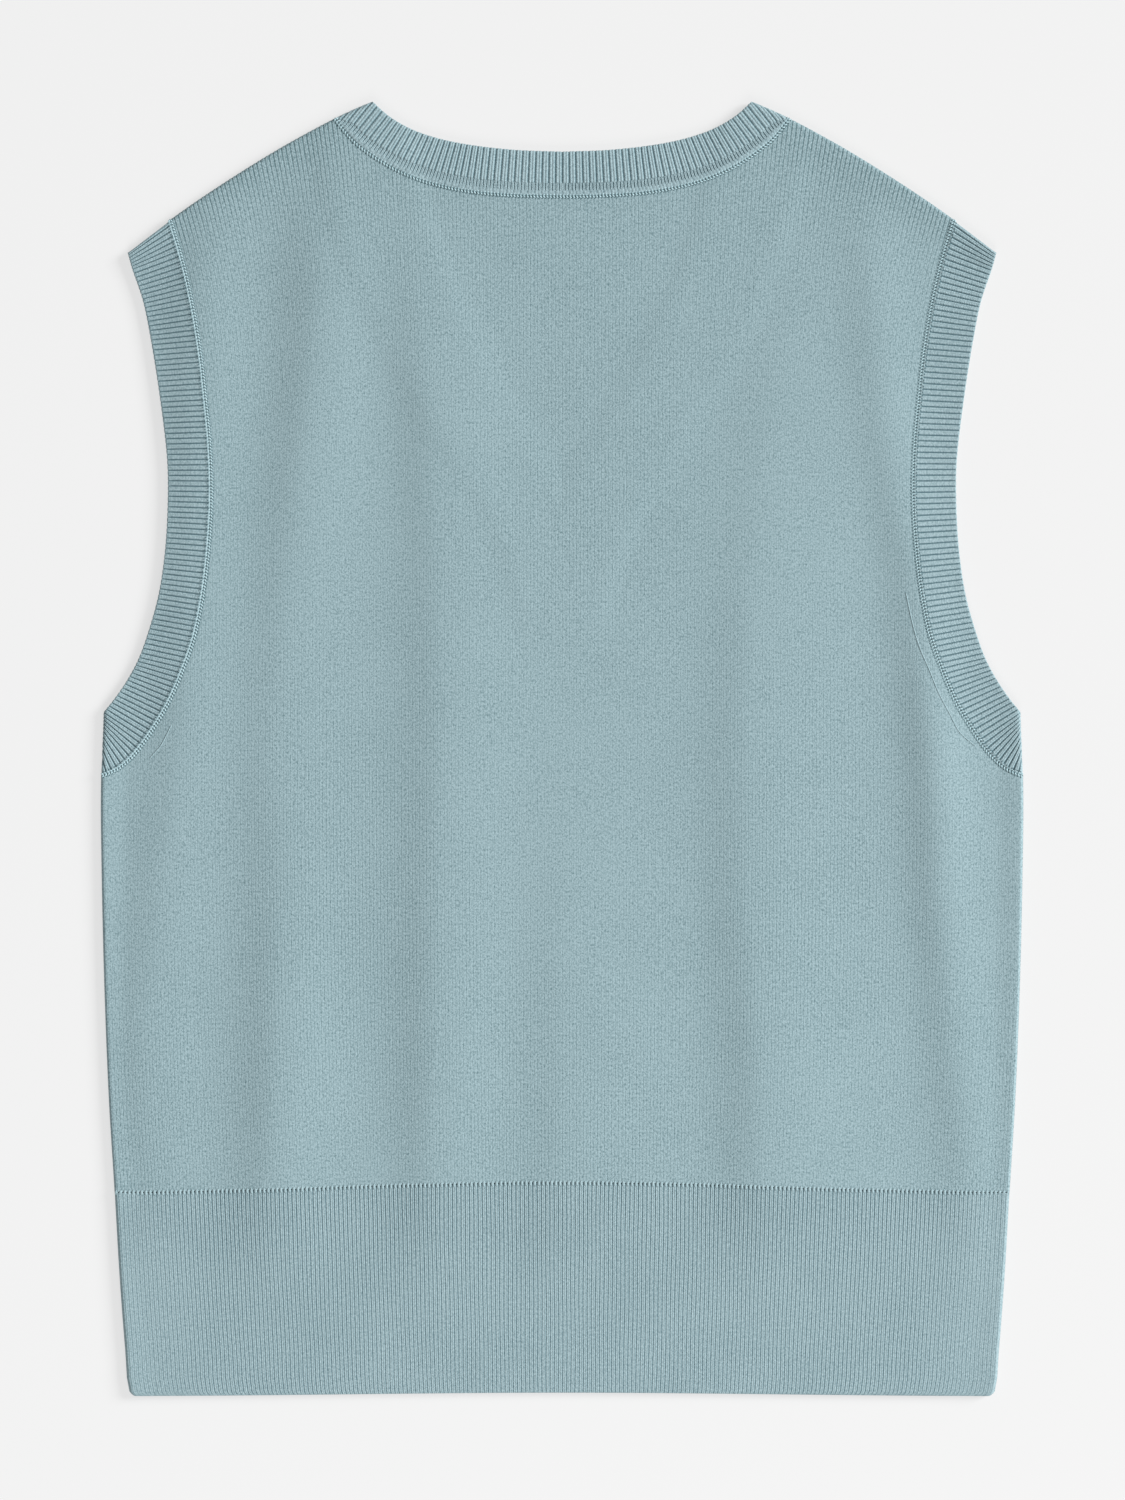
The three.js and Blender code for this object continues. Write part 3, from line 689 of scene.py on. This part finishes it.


# The dark colours are the dark flecks of the yarn, and the painted shade in the valleys between wales
JERSEY_LIGHT = (0.302, 0.414, 0.446, 1)
JERSEY_DARK = (0.106, 0.181, 0.2, 1)
WALE_GROOVE = 0.2
BACK_POINTS_PER_WALE = 4
jersey = knit_material(
    "jersey_knit", JERSEY_LIGHT, JERSEY_DARK, valley_shade_width=0.45, stitch_depth=0.6, fleck=1.7
)
back_panel = panel("back_panel_jersey", BACK_NECK_SEAM, ARM_NARROWEST, 1, BACK_POINTS_PER_WALE)
wale_groove = {
    "Groove depth": WALE_GROOVE, "Groove width": 0.5, "Leg groove depth": 0.0, "Yarn": jersey,
}
apply_tree(back_panel, RELIEF, wale_groove)
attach(back_panel, "root")
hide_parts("back_panel")

# The front. The same plain knit, with a plain V neck. It lies face down on the table, so its
# outer side is flat, and it is seen only from below and through the openings.
FRONT_LEVEL = 372
FRONT_POINTS_PER_WALE = 2
front_panel = panel("front_panel_jersey", FRONT_NECK_SEAM, FRONT_LEVEL, -1, FRONT_POINTS_PER_WALE)
apply_tree(front_panel, RELIEF, wale_groove)
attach(front_panel, "root")
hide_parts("front_panel")

# The hem. A deep one by one rib in the same yarn, knitted on to each panel, so its ribs start
# straight out of the jersey. Both halves lie flat on each other.
HEM_RIBS = 212
POINTS_PER_RIB = 8
HEM_ROWS = 14
HEM_EDGE = (1.6, 0)
HEM_INSIDE_SHORT = 0.3
NEAR_HEM_INSIDE = (0, 0.4, 0.8)
RIB_WANDER = 0.3
RIB_WANDER_START = 20
HEM_GROOVE = 0.22
HEM_CLEARNESS = 1.1
HEM_SIDE_CLEARNESS = 0.5
HEM_SIDE_FADE = 0.25
HEM_LOW_CLEARNESS = 0.72
HEM_TOP_CLEARNESS = 0.38
HEM_TOP_FADE = 28
# The back's hem sinks towards the hem line, to lie level with the thinner jersey
HEM_SINK = 0.75
HEM_SINK_RUN = 9
# The dark colour is the dark flecks of the yarn, and the painted shade in the valleys between ribs
RIB_LIGHT = (0.317, 0.425, 0.455, 1)
RIB_DARK = (0.085, 0.155, 0.18, 1)
rib = knit_material(
    "rib_knit", RIB_LIGHT, RIB_DARK, valley_shade_width=0.3, stitch_depth=0.6, fleck=1.0
)


def lay_hem(wall, shares, near, layer, face):
    low = across_hem(shares * HEM_HALF, HEM_EDGE) + (0 if face is outer_face else HEM_INSIDE_SHORT)
    high = across_hem(shares * HEM_HALF, HEM_LINE) - SEAM_GAP / 2
    up = rows_between(low, high, near, near, HEM_ROWS)
    x = shares * half_at(SIDE, up)
    wander = RIB_WANDER * np.sin(x / 9 + up / 17) * np.sin(up / 23 + x / 31)
    wander = wander * (1 - np.abs(shares)) ** 0.5
    x = x + wander * ease((high - up) / RIB_WANDER_START)
    edge = np.minimum(up - low, HEM_LINE_TIGHTNESS * (high - up))
    ribs = np.broadcast_to((shares + 1) / 2 * HEM_RIBS, up.shape)
    if face is outer_face:
        points, outward = outer_face(x, up, layer, RIB, edge)
        if layer > 0:
            from_fold = ease(fold_at(x, up)[0] / SETTLE_REACH)
            points[..., 2] -= HEM_SINK * from_fold * (1 - ease((high - up) / HEM_SINK_RUN))
        # The relief sets the depth of the rib grooves and of the painted shade in them
        away = ease((1 - np.abs(shares)) / HEM_SIDE_FADE)
        clear = HEM_CLEARNESS * (HEM_SIDE_CLEARNESS + (1 - HEM_SIDE_CLEARNESS) * away)
        near_top = np.exp(-(high - up) / HEM_TOP_FADE)
        clear = clear * (HEM_LOW_CLEARNESS + HEM_TOP_CLEARNESS * near_top)
        relief = clear * rounding(edge, EDGE_RADIUS)
    else:
        points = inner_face(x, up, layer, RIB, edge)
        outward = None
        relief = 0 * up
    grid = wall.add(points, np.stack([ribs, up / COURSE, relief], -1), outward)
    wall.skin(grid)
    return [grid[0], grid[:, -1], grid[-1], grid[:, 0]]


def hem(name, layer):
    wall = Wall()
    fine = np.linspace(-1, 1, HEM_RIBS * POINTS_PER_RIB + 1)
    middle = np.linspace(-0.985, 0.985, 60)
    coarse = np.concatenate([[-1, -0.996, -0.992], middle, [0.992, 0.996, 1]])
    outside = lay_hem(wall, fine, NEAR_SEAM, layer, outer_face)
    inside = lay_hem(wall, coarse, NEAR_HEM_INSIDE, layer, inner_face)
    for left, right in zip(outside, inside):
        wall.stitch(left, right)
    return wall.make(name)


hem_groove = {
    "Groove depth": HEM_GROOVE, "Groove width": 0.4, "Leg groove depth": 0.12, "Yarn": rib,
}
for side, layer, below in (("back", 1, "front_hem_ribbing"), ("front", -1, "floor")):
    piece = hem(side + "_hem_ribbing", layer)
    apply_tree(piece, RELIEF, hem_groove)
    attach(piece, "root")
    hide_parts(side + "_hem_rib")

# The neck band. One strip of coarser one by one rib, linked round the neckline stitch by stitch
# and folded with the vest at both neck corners. Next to the seam its ribs split in two.
BACK_NECK_EDGE = smooth_line(
    (0, 610.0), (24.5, 611.0), (49.0, 614.0), (63.7, 617.4), (75.0, 621.6), (84.6, 627.2),
    (93.0, 634.6),
)
NECK_CORNER = 93.0
BACK_FOLD_START = 105.4
VEE_MITRE_START = 419.1
NECK_RIBS = 33
NECK_RIBS_IN_FOLD = 3
VEE_RIBS = (9, 70)
POINTS_PER_NECK_RIB = 10
NECK_GROOVE = 0.5
HALF_RIB_SHIFT = 0.15
# So do the bands on the back, from their fold to their seam
BAND_SINK = 0.35
BAND_SINK_REACH = 22
# The dark colour is the dark flecks of the yarn, and the painted shade in the valleys between ribs
BAND_LIGHT = (0.335, 0.45, 0.483, 1)
BAND_DARK = (0.09, 0.163, 0.188, 1)
band_rib = knit_material(
    "band_knit", BAND_LIGHT, BAND_DARK, valley_shade_width=0.3, stitch_depth=0.6, fleck=1.0
)
# Where a rib that starts on the seam ends: distance out for the back, height for the front
BACK_NECK_RUN = (
    (0, 0), (40, 37.6), (69.6, 61.6), (84.3, 74), (99, 86.3), (BACK_FOLD_START, NECK_CORNER),
    (108.5, 102.3),
)
VEE_RUN = (
    (VEE_MITRE_START, 430), (453.1, 464), (502, 511.5), (533, 540.1), (572.5, 578.4),
    (597.5, 602.1),
)
VEE_TOP_RUN = 630.3
# Rows across the band: share of the way from the seam to the free edge, clearness of the ribs
# (the depth of their grooves and of the painted shade in them), and of the half ribs beside the seam
NECK_ROWS = (
    (0, 0.2, 0), (0.008, 0.25, 0), (0.02, 0.3, 0), (0.06, 0.3, 0), (0.1, 0.4, 0), (0.105, 0.4, 1),
    (0.13, 1.5, 1), (0.18, 1.7, 1), (0.23, 1.7, 1), (0.275, 1.4, 1), (0.28, 0.9, 0), (0.31, 1, 0),
    (0.38, 1, 0), (0.46, 1, 0), (0.55, 1, 0), (0.64, 1, 0), (0.74, 1, 0), (0.83, 1, 0), (0.9, 1, 0),
    (0.95, 1, 0), (0.98, 0.9, 0), (0.993, 0.7, 0), (1, 0.55, 0),
)
INNER_ROWS = (0, 0.05, 0.3, 0.6, 0.93, 1)
FOLD_POINTS = 30


def join(*lines):
    halves = [line.half for line in lines]
    ups = [line.up for line in lines]
    return Line(np.concatenate(halves), np.concatenate(ups))


def shares_of(line):
    run = np.concatenate([[0], np.cumsum(np.hypot(np.diff(line.half), np.diff(line.up)))])
    return run / run[-1]


def ribs_along(line, stops, counts, points):
    """Evenly spaced columns along a line, with so many ribs up to each stop."""
    stops = [0, *stops, 1]
    parts = [np.linspace(a, b, n * points + 1)[1:] for a, b, n in zip(stops, stops[1:], counts)]
    at = np.concatenate([[0], *parts])
    shares = shares_of(line)
    return Line(np.interp(at, shares, line.half), np.interp(at, shares, line.up))


def run_to(values, run):
    starts, ends = np.array(sorted(run)).T
    return np.interp(values, starts, ends)


def lay_ribs(wall, starts, ends, open_starts, open_ends, side, layer, points, rows, face):
    """Adds one side of a stretch of band. Columns run from a start on the seam, or on a fold, to
    an end on the free edge, or on a fold. Open columns are the first and last at a real edge."""
    rows = np.array(rows, float)
    share = rows[:, :1]
    half = starts.half + (ends.half - starts.half) * share
    up = starts.up + (ends.up - starts.up) * share
    length = np.hypot(ends.half - starts.half, ends.up - starts.up) + MERGE_DISTANCE
    along = (ends.half - starts.half) / length, (ends.up - starts.up) / length
    columns = np.arange(len(starts.half))
    near_start = np.clip(columns, *open_starts)
    near_end = np.clip(columns, *open_ends)
    from_start = np.hypot(half - starts.half[near_start], up - starts.up[near_start])
    from_end = np.hypot(half - ends.half[near_end], up - ends.up[near_end])
    edge = np.minimum(from_start, from_end)
    flat = np.clip(1 - from_end / EDGE_RADIUS, 0, 1) - np.clip(1 - from_start / EDGE_RADIUS, 0, 1)
    number = np.broadcast_to(columns / points, half.shape) * (1 + rows[:, 2:])
    stitches = length * share / COURSE
    number = number + HALF_RIB_SHIFT * rows[:, 2:]
    knit = np.stack([number, stitches, rows[:, 1:2] + 0 * half], -1)
    level = np.stack([side * along[0] * flat, along[1] * flat, 0 * flat], -1)
    if face is outer_face:
        place, outward = outer_face(side * half, up, layer, RIB, edge, 0)
        if layer > 0:
            from_fold = np.clip(fold_at(side * half, up)[0] / BAND_SINK_REACH, 0, 1)
            place[..., 2] -= BAND_SINK * from_fold
        outward = outward * np.sqrt(1 - flat ** 2)[..., None] + level
    else:
        place = inner_face(side * half, up, layer, RIB, edge, 0)
        outward = level
    grid = wall.add(place, knit, outward)
    wall.skin(grid)
    return grid


def band_stretch(wall, starts, ends, open_starts, open_ends, side, layer, points, rows):
    """Both sides of a stretch of band, and the rims at its seam and at its free edge."""
    stretch = starts, ends, open_starts, open_ends, side, layer, points
    first, last = np.array(rows)[[0, -1], 1]
    inner = [(share, {0: first, 1: last}.get(share, 0), 0) for share in INNER_ROWS]
    outside = lay_ribs(wall, *stretch, rows, outer_face)
    inside = lay_ribs(wall, *stretch, inner, inner_face)
    for row, (a, b) in ((0, open_starts), (-1, open_ends)):
        wall.skin(np.stack([outside[row, a:b + 1], inside[row, a:b + 1]]))


def on_shoulder(half):
    return Line(half, up_at(SHOULDER, half))


back_seam = moved(BACK_NECK_SEAM, -SEAM_GAP / 2)
neck_end = back_seam.half[-1]
back_seam.up[-1] = up_at(SHOULDER, neck_end)
neck_fold = on_shoulder(np.linspace(NECK_CORNER, neck_end, FOLD_POINTS))
back_stop = np.interp(BACK_FOLD_START, back_seam.half, shares_of(back_seam))
back_counts = (NECK_RIBS, NECK_RIBS_IN_FOLD)
back_starts = ribs_along(back_seam, [back_stop], back_counts, POINTS_PER_NECK_RIB)
back_halves = run_to(back_starts.half, (*BACK_NECK_RUN, (neck_end, neck_end)))
corner = NECK_RIBS * POINTS_PER_NECK_RIB
back_halves[corner] = NECK_CORNER
back_ends = Line(back_halves, up_at(join(BACK_NECK_EDGE, neck_fold), back_halves))
back_ends.up[corner:] = up_at(SHOULDER, back_halves[corner:])

front_seam = moved(FRONT_NECK_SEAM, -SEAM_GAP / 2)
front_seam.half[-1] = neck_end
front_seam.up[-1] = back_seam.up[-1]
vee_point = front_seam.up[0]
vee_stop = np.interp(VEE_MITRE_START, front_seam.up, shares_of(front_seam))
vee_starts = ribs_along(front_seam, [vee_stop], VEE_RIBS, POINTS_PER_NECK_RIB)
vee_columns = len(vee_starts.half) - 1
fold_ends = Line(back_ends.half[corner:-1][::-1], back_ends.up[corner:-1][::-1])
front_starts = join(vee_starts, fold_ends)
mitre = Line(np.array([0, 0]), np.array([vee_point, FRONT_NECK_EDGE.up[0]]))
vee_run = (
    (vee_point, vee_point), *VEE_RUN, (back_seam.up[-1], VEE_TOP_RUN),
    (fold_ends.up[-1], fold_ends.up[-1]),
)
front_ups = run_to(front_starts.up, vee_run)
front_ends = Line(half_at(join(mitre, FRONT_NECK_EDGE), front_ups), front_ups)
front_ends.half[-1] = NECK_CORNER
front_ends.up[-1] = fold_ends.up[-1]
vee_mitre = VEE_RIBS[0] * POINTS_PER_NECK_RIB
front_ends.half[:vee_mitre + 1] = 0

neck = Wall()
for side in (-1, 1):
    columns = len(back_starts.half) - 1
    band_stretch(neck, back_starts, back_ends, (0, columns), (0, corner), side, 1,
                 POINTS_PER_NECK_RIB, NECK_ROWS)
    columns = len(front_starts.half) - 1
    band_stretch(neck, front_starts, front_ends, (0, vee_columns), (vee_mitre, columns), side, -1,
                 POINTS_PER_NECK_RIB, NECK_ROWS)
neck_band = neck.make("neck_ribbing")
neck_groove = {
    "Groove depth": NECK_GROOVE, "Groove width": 0.34, "Leg groove depth": 0.22, "Yarn": band_rib,
}
apply_tree(neck_band, RELIEF, neck_groove)
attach(neck_band, "root")
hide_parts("neck_band")

# The arm bands. A narrower one by one rib strip round each armhole, folded at the shoulder tip
# and at the underarm, where its last ribs end on the side fold.
ARM_EDGE = smooth_line(
    (213.0, 560.6), (210.7, 552.2), (205.6, 537.0), (201.6, 517.4), (197.0, 488.0), (193.6, 458.6),
    (193.3, 439.0), (194.6, 415.0), (197.6, 394.0), (201.8, 378.0), (207.6, 361.5), (213.8, 350.0),
    (220.0, 341.0), (224.9, 335.0),
)
UNDERARM_CORNER = (224.9, 335.0)
UNDERARM_START = 321.7
ARM_RIBS = {-1: (99, 10), 1: (93, 10)}
POINTS_PER_ARM_RIB = 8
ARM_GROOVE = 0.5
# Heights where a rib starts on the seam and ends on the free edge or on the side fold
ARM_RUN = (
    (560.6, 551.8), (537.0, 532.6), (517.4, 515.5), (453.7, 453.7), (408.7, 410.6), (368.5, 372.9),
    (357.7, 362.6), (341.5, 350.4), (331.2, 342.0), (321.7, 335.0), (311.8, 327.3), (307.2, 320.4),
    (305.4, 314.2),
)
ARM_ROWS = (
    (0, 0.3, 0), (0.007, 0.4, 0), (0.018, 0.55, 0), (0.035, 0.8, 0), (0.06, 1.3, 0), (0.11, 1.5, 0),
    (0.2, 1.5, 0), (0.32, 1.5, 0), (0.44, 1.5, 0), (0.56, 1.5, 0), (0.68, 1.5, 0), (0.79, 1.5, 0),
    (0.87, 1.5, 0), (0.93, 1.2, 0), (0.96, 1.1, 0), (0.982, 0.9, 0), (0.994, 0.7, 0), (1, 0.5, 0),
)

arm_seam = moved(ARM_SEAM, -SEAM_GAP / 2)
arm_seam.half[-1] = half_at(SIDE, arm_seam.up[-1])
arm_seam.up[0] = up_at(SHOULDER, arm_seam.half[0])
side_ups = np.linspace(UNDERARM_CORNER[1], arm_seam.up[-1], 40)
arm_outline = join(ARM_EDGE, Line(half_at(SIDE, side_ups), side_ups))
arm_stop = np.interp(-UNDERARM_START, -arm_seam.up, shares_of(arm_seam))
arm_run = ((arm_seam.up[0], ARM_EDGE.up[0]), *ARM_RUN, (arm_seam.up[-1], arm_seam.up[-1]))
arm_groove = {
    "Groove depth": ARM_GROOVE, "Groove width": 0.36, "Leg groove depth": 0.1, "Yarn": band_rib,
}
for side, name in ((-1, "left_arm"), (1, "right_arm")):
    arm_starts = ribs_along(arm_seam, [arm_stop], ARM_RIBS[side], POINTS_PER_ARM_RIB)
    ups = run_to(arm_starts.up, arm_run)
    corner = ARM_RIBS[side][0] * POINTS_PER_ARM_RIB
    ups[corner] = UNDERARM_CORNER[1]
    arm_ends = Line(half_at(arm_outline, ups), ups)
    arm_ends.half[corner:] = half_at(SIDE, ups[corner:])
    arm = Wall()
    columns = len(arm_starts.half) - 1
    for layer in (1, -1):
        band_stretch(arm, arm_starts, arm_ends, (0, columns), (0, corner), side, layer,
                     POINTS_PER_ARM_RIB, ARM_ROWS)
    piece = arm.make(name + "_ribbing")
    apply_tree(piece, RELIEF, arm_groove)
    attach(piece, "root")
    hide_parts(name + "_band")

# The linking. A chain of small stitches in the same yarn closes each seam of the neck and arm
# bands, and pulls small holes open beside it. The chain is coloured lighter than that yarn as
# painted light, over a sunk link coloured dark as painted shade, and the holes are flat dark discs
# of painted shade. A long stitch starts every rib of the hem.


def stitch_tree(name, hands):
    """Sets short slanted yarn loops along a path: one at each point, or one for each hand."""
    tree = bpy.data.node_groups.new(name, "GeometryNodeTree")
    sockets = tree.interface
    sockets.new_socket("Path", in_out="INPUT", socket_type="NodeSocketGeometry")
    sockets.new_socket("Stitches", in_out="INPUT", socket_type="NodeSocketInt")
    for label in ("Length", "Width", "Height", "Slant", "Apart"):
        sockets.new_socket(label, in_out="INPUT", socket_type="NodeSocketFloat")
    sockets.new_socket("Yarn", in_out="INPUT", socket_type="NodeSocketMaterial")
    sockets.new_socket("Stitches", in_out="OUTPUT", socket_type="NodeSocketGeometry")
    given = tree.nodes.new("NodeGroupInput").outputs
    curve = add_node(tree, "GeometryNodeMeshToCurve", given["Path"])
    even = tree.nodes.new("GeometryNodeResampleCurve")
    tree.links.new(curve, even.inputs["Curve"])
    tree.links.new(given["Stitches"], even.inputs["Count"])
    ball = tree.nodes.new("GeometryNodeMeshUVSphere")
    ball.inputs["Segments"].default_value = 6
    ball.inputs["Rings"].default_value = 4
    ball.inputs["Radius"].default_value = 0.5
    size = tree.nodes.new("ShaderNodeCombineXYZ")
    for socket, label in zip(size.inputs, ("Length", "Width", "Height")):
        tree.links.new(given[label], socket)
    loops = tree.nodes.new("GeometryNodeJoinGeometry")
    for hand in hands:
        loop = tree.nodes.new("GeometryNodeTransform")
        tree.links.new(ball.outputs["Mesh"], loop.inputs["Geometry"])
        tree.links.new(size.outputs[0], loop.inputs["Scale"])
        turn = tree.nodes.new("ShaderNodeCombineXYZ")
        tree.links.new(calculate(tree, "MULTIPLY", given["Slant"], hand), turn.inputs[2])
        tree.links.new(turn.outputs[0], loop.inputs["Rotation"])
        shift = tree.nodes.new("ShaderNodeCombineXYZ")
        tree.links.new(calculate(tree, "MULTIPLY", given["Apart"], hand / 2), shift.inputs[1])
        tree.links.new(shift.outputs[0], loop.inputs["Translation"])
        tree.links.new(loop.outputs[0], loops.inputs[0])
    tangent = add_node(tree, "GeometryNodeInputTangent")
    turned = tree.nodes.new("FunctionNodeAlignRotationToVector")
    turned.axis = "X"
    turned.pivot_axis = "Z"
    tree.links.new(tangent, turned.inputs["Vector"])
    placed = tree.nodes.new("GeometryNodeInstanceOnPoints")
    tree.links.new(even.outputs[0], placed.inputs["Points"])
    tree.links.new(loops.outputs[0], placed.inputs["Instance"])
    tree.links.new(turned.outputs[0], placed.inputs["Rotation"])
    real = add_node(tree, "GeometryNodeRealizeInstances", placed.outputs[0])
    finished = add_node(tree, "GeometryNodeSetMaterial", real, None, given["Yarn"])
    out = tree.nodes.new("NodeGroupOutput")
    tree.links.new(finished, out.inputs[0])
    return tree


PAIRS = stitch_tree("paired_stitches", (1, -1))
SINGLES = stitch_tree("single_stitches", (1,))


def yarn(name, light, dark):
    """Plain spun yarn for single stitches."""
    material = bpy.data.materials.new(name)
    material.use_nodes = True
    tree = material.node_tree
    shader = tree.nodes["Principled BSDF"]
    shader.inputs["Roughness"].default_value = 0.85
    shader.inputs["Specular IOR Level"].default_value = 0.25
    place = tree.nodes.new("ShaderNodeTexCoord").outputs["Object"]
    fuzz = add_node(tree, "ShaderNodeTexNoise", place, None, 1500, 2, 0.6).node.outputs["Fac"]
    tints = add_node(tree, "ShaderNodeValToRGB", fuzz).node
    tints.color_ramp.elements[0].color = dark
    tints.color_ramp.elements[1].color = light
    tints.color_ramp.elements[1].position = 0.6
    tree.links.new(tints.outputs["Color"], shader.inputs["Base Color"])
    return material


STITCH_INSET = 0.7


def stitch_row(name, line, layer, wall, rise, pitch, loop, material):
    """A row of stitches along a line on the cloth, given as X and up."""
    x, up = line
    inside = fold_at(x, up)[0] > STITCH_INSET
    x = x[inside]
    up = up[inside]
    place, outward = outer_face(x, up, layer, wall, np.full(x.shape, EDGE_RADIUS), 0)
    place = place + outward * rise
    place[:, 2] = np.maximum(place[:, 2], loop["Height"] / MM / 2)
    mesh = bpy.data.meshes.new(name)
    points = ((place - (0, LENGTH / 2, 0)) * MM).tolist()
    mesh.from_pydata(points, [(i, i + 1) for i in range(len(points) - 1)], [])
    piece = bpy.data.objects.new(name, mesh)
    bpy.context.scene.collection.objects.link(piece)
    count = int(np.hypot(np.diff(x), np.diff(up)).sum() / pitch)
    tree = PAIRS if "Apart" in loop else SINGLES
    apply_tree(piece, tree, {"Stitches": count, "Yarn": material, **loop})
    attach(piece, "root")


def across_centre(line):
    """Both halves of a line, from left to right."""
    x = np.concatenate([-line.half[:0:-1], line.half])
    return x, np.concatenate([line.up[:0:-1], line.up])


def on_left(line):
    return -line.half, line.up


def on_right(line):
    return line.half, line.up


# Painted light: the chain is coloured lighter than the yarn of the panels, so that it looks lit
CHAIN_PAINTED_LIGHT = (0.44, 0.6, 0.64, 1)
CHAIN_DARK = (0.19, 0.3, 0.33, 1)
# Painted shade: the link sunk under the chain is coloured dark, so that the gaps between the chain's
# loops look shaded
LINK_SHADE_LIGHT = (0.13, 0.21, 0.235, 1)
PAINTED_STITCH_SHADE = (0.09, 0.16, 0.18, 1)
# Painted shade: the holes beside the seams are flat discs coloured almost black
PAINTED_HOLE_SHADE = (0.05, 0.095, 0.11, 1)
lit_chain_yarn = yarn("lit_chain_yarn", CHAIN_PAINTED_LIGHT, CHAIN_DARK)
link_shade_yarn = yarn("link_shade_yarn", LINK_SHADE_LIGHT, PAINTED_STITCH_SHADE)
rib_yarn = yarn("rib_yarn", RIB_LIGHT, CHAIN_DARK)
hole_shade = yarn("hole_shade", PAINTED_STITCH_SHADE, PAINTED_HOLE_SHADE)
CHAIN = {"Length": 0.0016, "Width": 0.00085, "Height": 0.0005, "Slant": 0.75, "Apart": 0.0011}
LINK = {"Length": 0.0024, "Width": 0.0009, "Height": 0.0009, "Slant": 0.12}
HOLE = {"Length": 0.0008, "Width": 0.0007, "Height": 0.00016, "Slant": 0.5}
CHAIN_PITCH = 1.6
ARM_PITCH = 1.5
CHAIN_RISE = 0.15
LINK_RISE = -0.25
HOLE_RISE = 0.02
HOLE_OFFSET = 1.3
seams = [
    ("back_neck", 1, BACK_NECK_SEAM, CHAIN_PITCH, across_centre),
    ("front_neck", -1, FRONT_NECK_SEAM, CHAIN_PITCH, across_centre),
    ("left_arm_back", 1, ARM_SEAM, ARM_PITCH, on_left),
    ("right_arm_back", 1, ARM_SEAM, ARM_PITCH, on_right),
    ("left_arm_front", -1, ARM_SEAM, ARM_PITCH, on_left),
    ("right_arm_front", -1, ARM_SEAM, ARM_PITCH, on_right),
]
for name, layer, seam, pitch, placed in seams:
    stitch_row(name + "_chain", placed(seam), layer, JERSEY, CHAIN_RISE, pitch, CHAIN, lit_chain_yarn)
    # The link is coloured dark, as painted shade under the chain
    stitch_row(name + "_link", placed(seam), layer, JERSEY, LINK_RISE, pitch, LINK, link_shade_yarn)
    # Painted shade: flat dark discs stand for the holes beside the seam
    if layer > 0:
        beside = placed(moved(seam, HOLE_OFFSET))
        stitch_row(name + "_holes", beside, layer, JERSEY, HOLE_RISE, pitch, HOLE, hole_shade)
    if layer > 0 and seam is ARM_SEAM:
        beyond = placed(moved(seam, -HOLE_OFFSET))
        stitch_row(name + "_band_holes", beyond, layer, RIB, HOLE_RISE, pitch, HOLE, hole_shade)

HEM_START = {"Length": 0.003, "Width": 0.0016, "Height": 0.0007, "Slant": np.pi / 2}
HEM_START_DROP = 0.1
ROUNDING_ROOM = 0.1
centres = (np.arange(HEM_RIBS) + 0.5) / HEM_RIBS * 2 - 1
start_up = across_hem(centres * HEM_HALF, HEM_LINE) - HEM_START_DROP
start_x = centres * half_at(SIDE, start_up)
start_run = np.hypot(np.diff(start_x), np.diff(start_up)).sum()
start_pitch = start_run / (HEM_RIBS + ROUNDING_ROOM)
for layer, name in ((1, "back_hem_starts"), (-1, "front_hem_starts")):
    stitch_row(name, (start_x, start_up), layer, JERSEY, 0, start_pitch, HEM_START, rib_yarn)

# The front armhole seams. They lie inside the vest, a little further in than the seams of the
# back, and their yarn presses through its plain knit as a fine line beside each armhole.
IMPRINT = {"Length": 0.0024, "Width": 0.0007, "Height": 0.0005, "Slant": 0}
IMPRINT_PITCH = 1.3
IMPRINT_LINES = (
    ("right_imprint", (
        (168.6, 392.5), (172.3, 375.8), (175.2, 366.5), (179.5, 356.5), (184.6, 344.2), (190.3, 333.4),
        (194.6, 325.5), (201.8, 319.1),
    )),
    ("left_imprint", ((-191.8, 327.9), (-194.3, 322.9), (-196.8, 318.4), (-201.3, 313.4))),
)
for name, points in IMPRINT_LINES:
    line = smooth_line(*points)
    stitch_row(name, line, 1, JERSEY, 0, IMPRINT_PITCH, IMPRINT, rib_yarn)
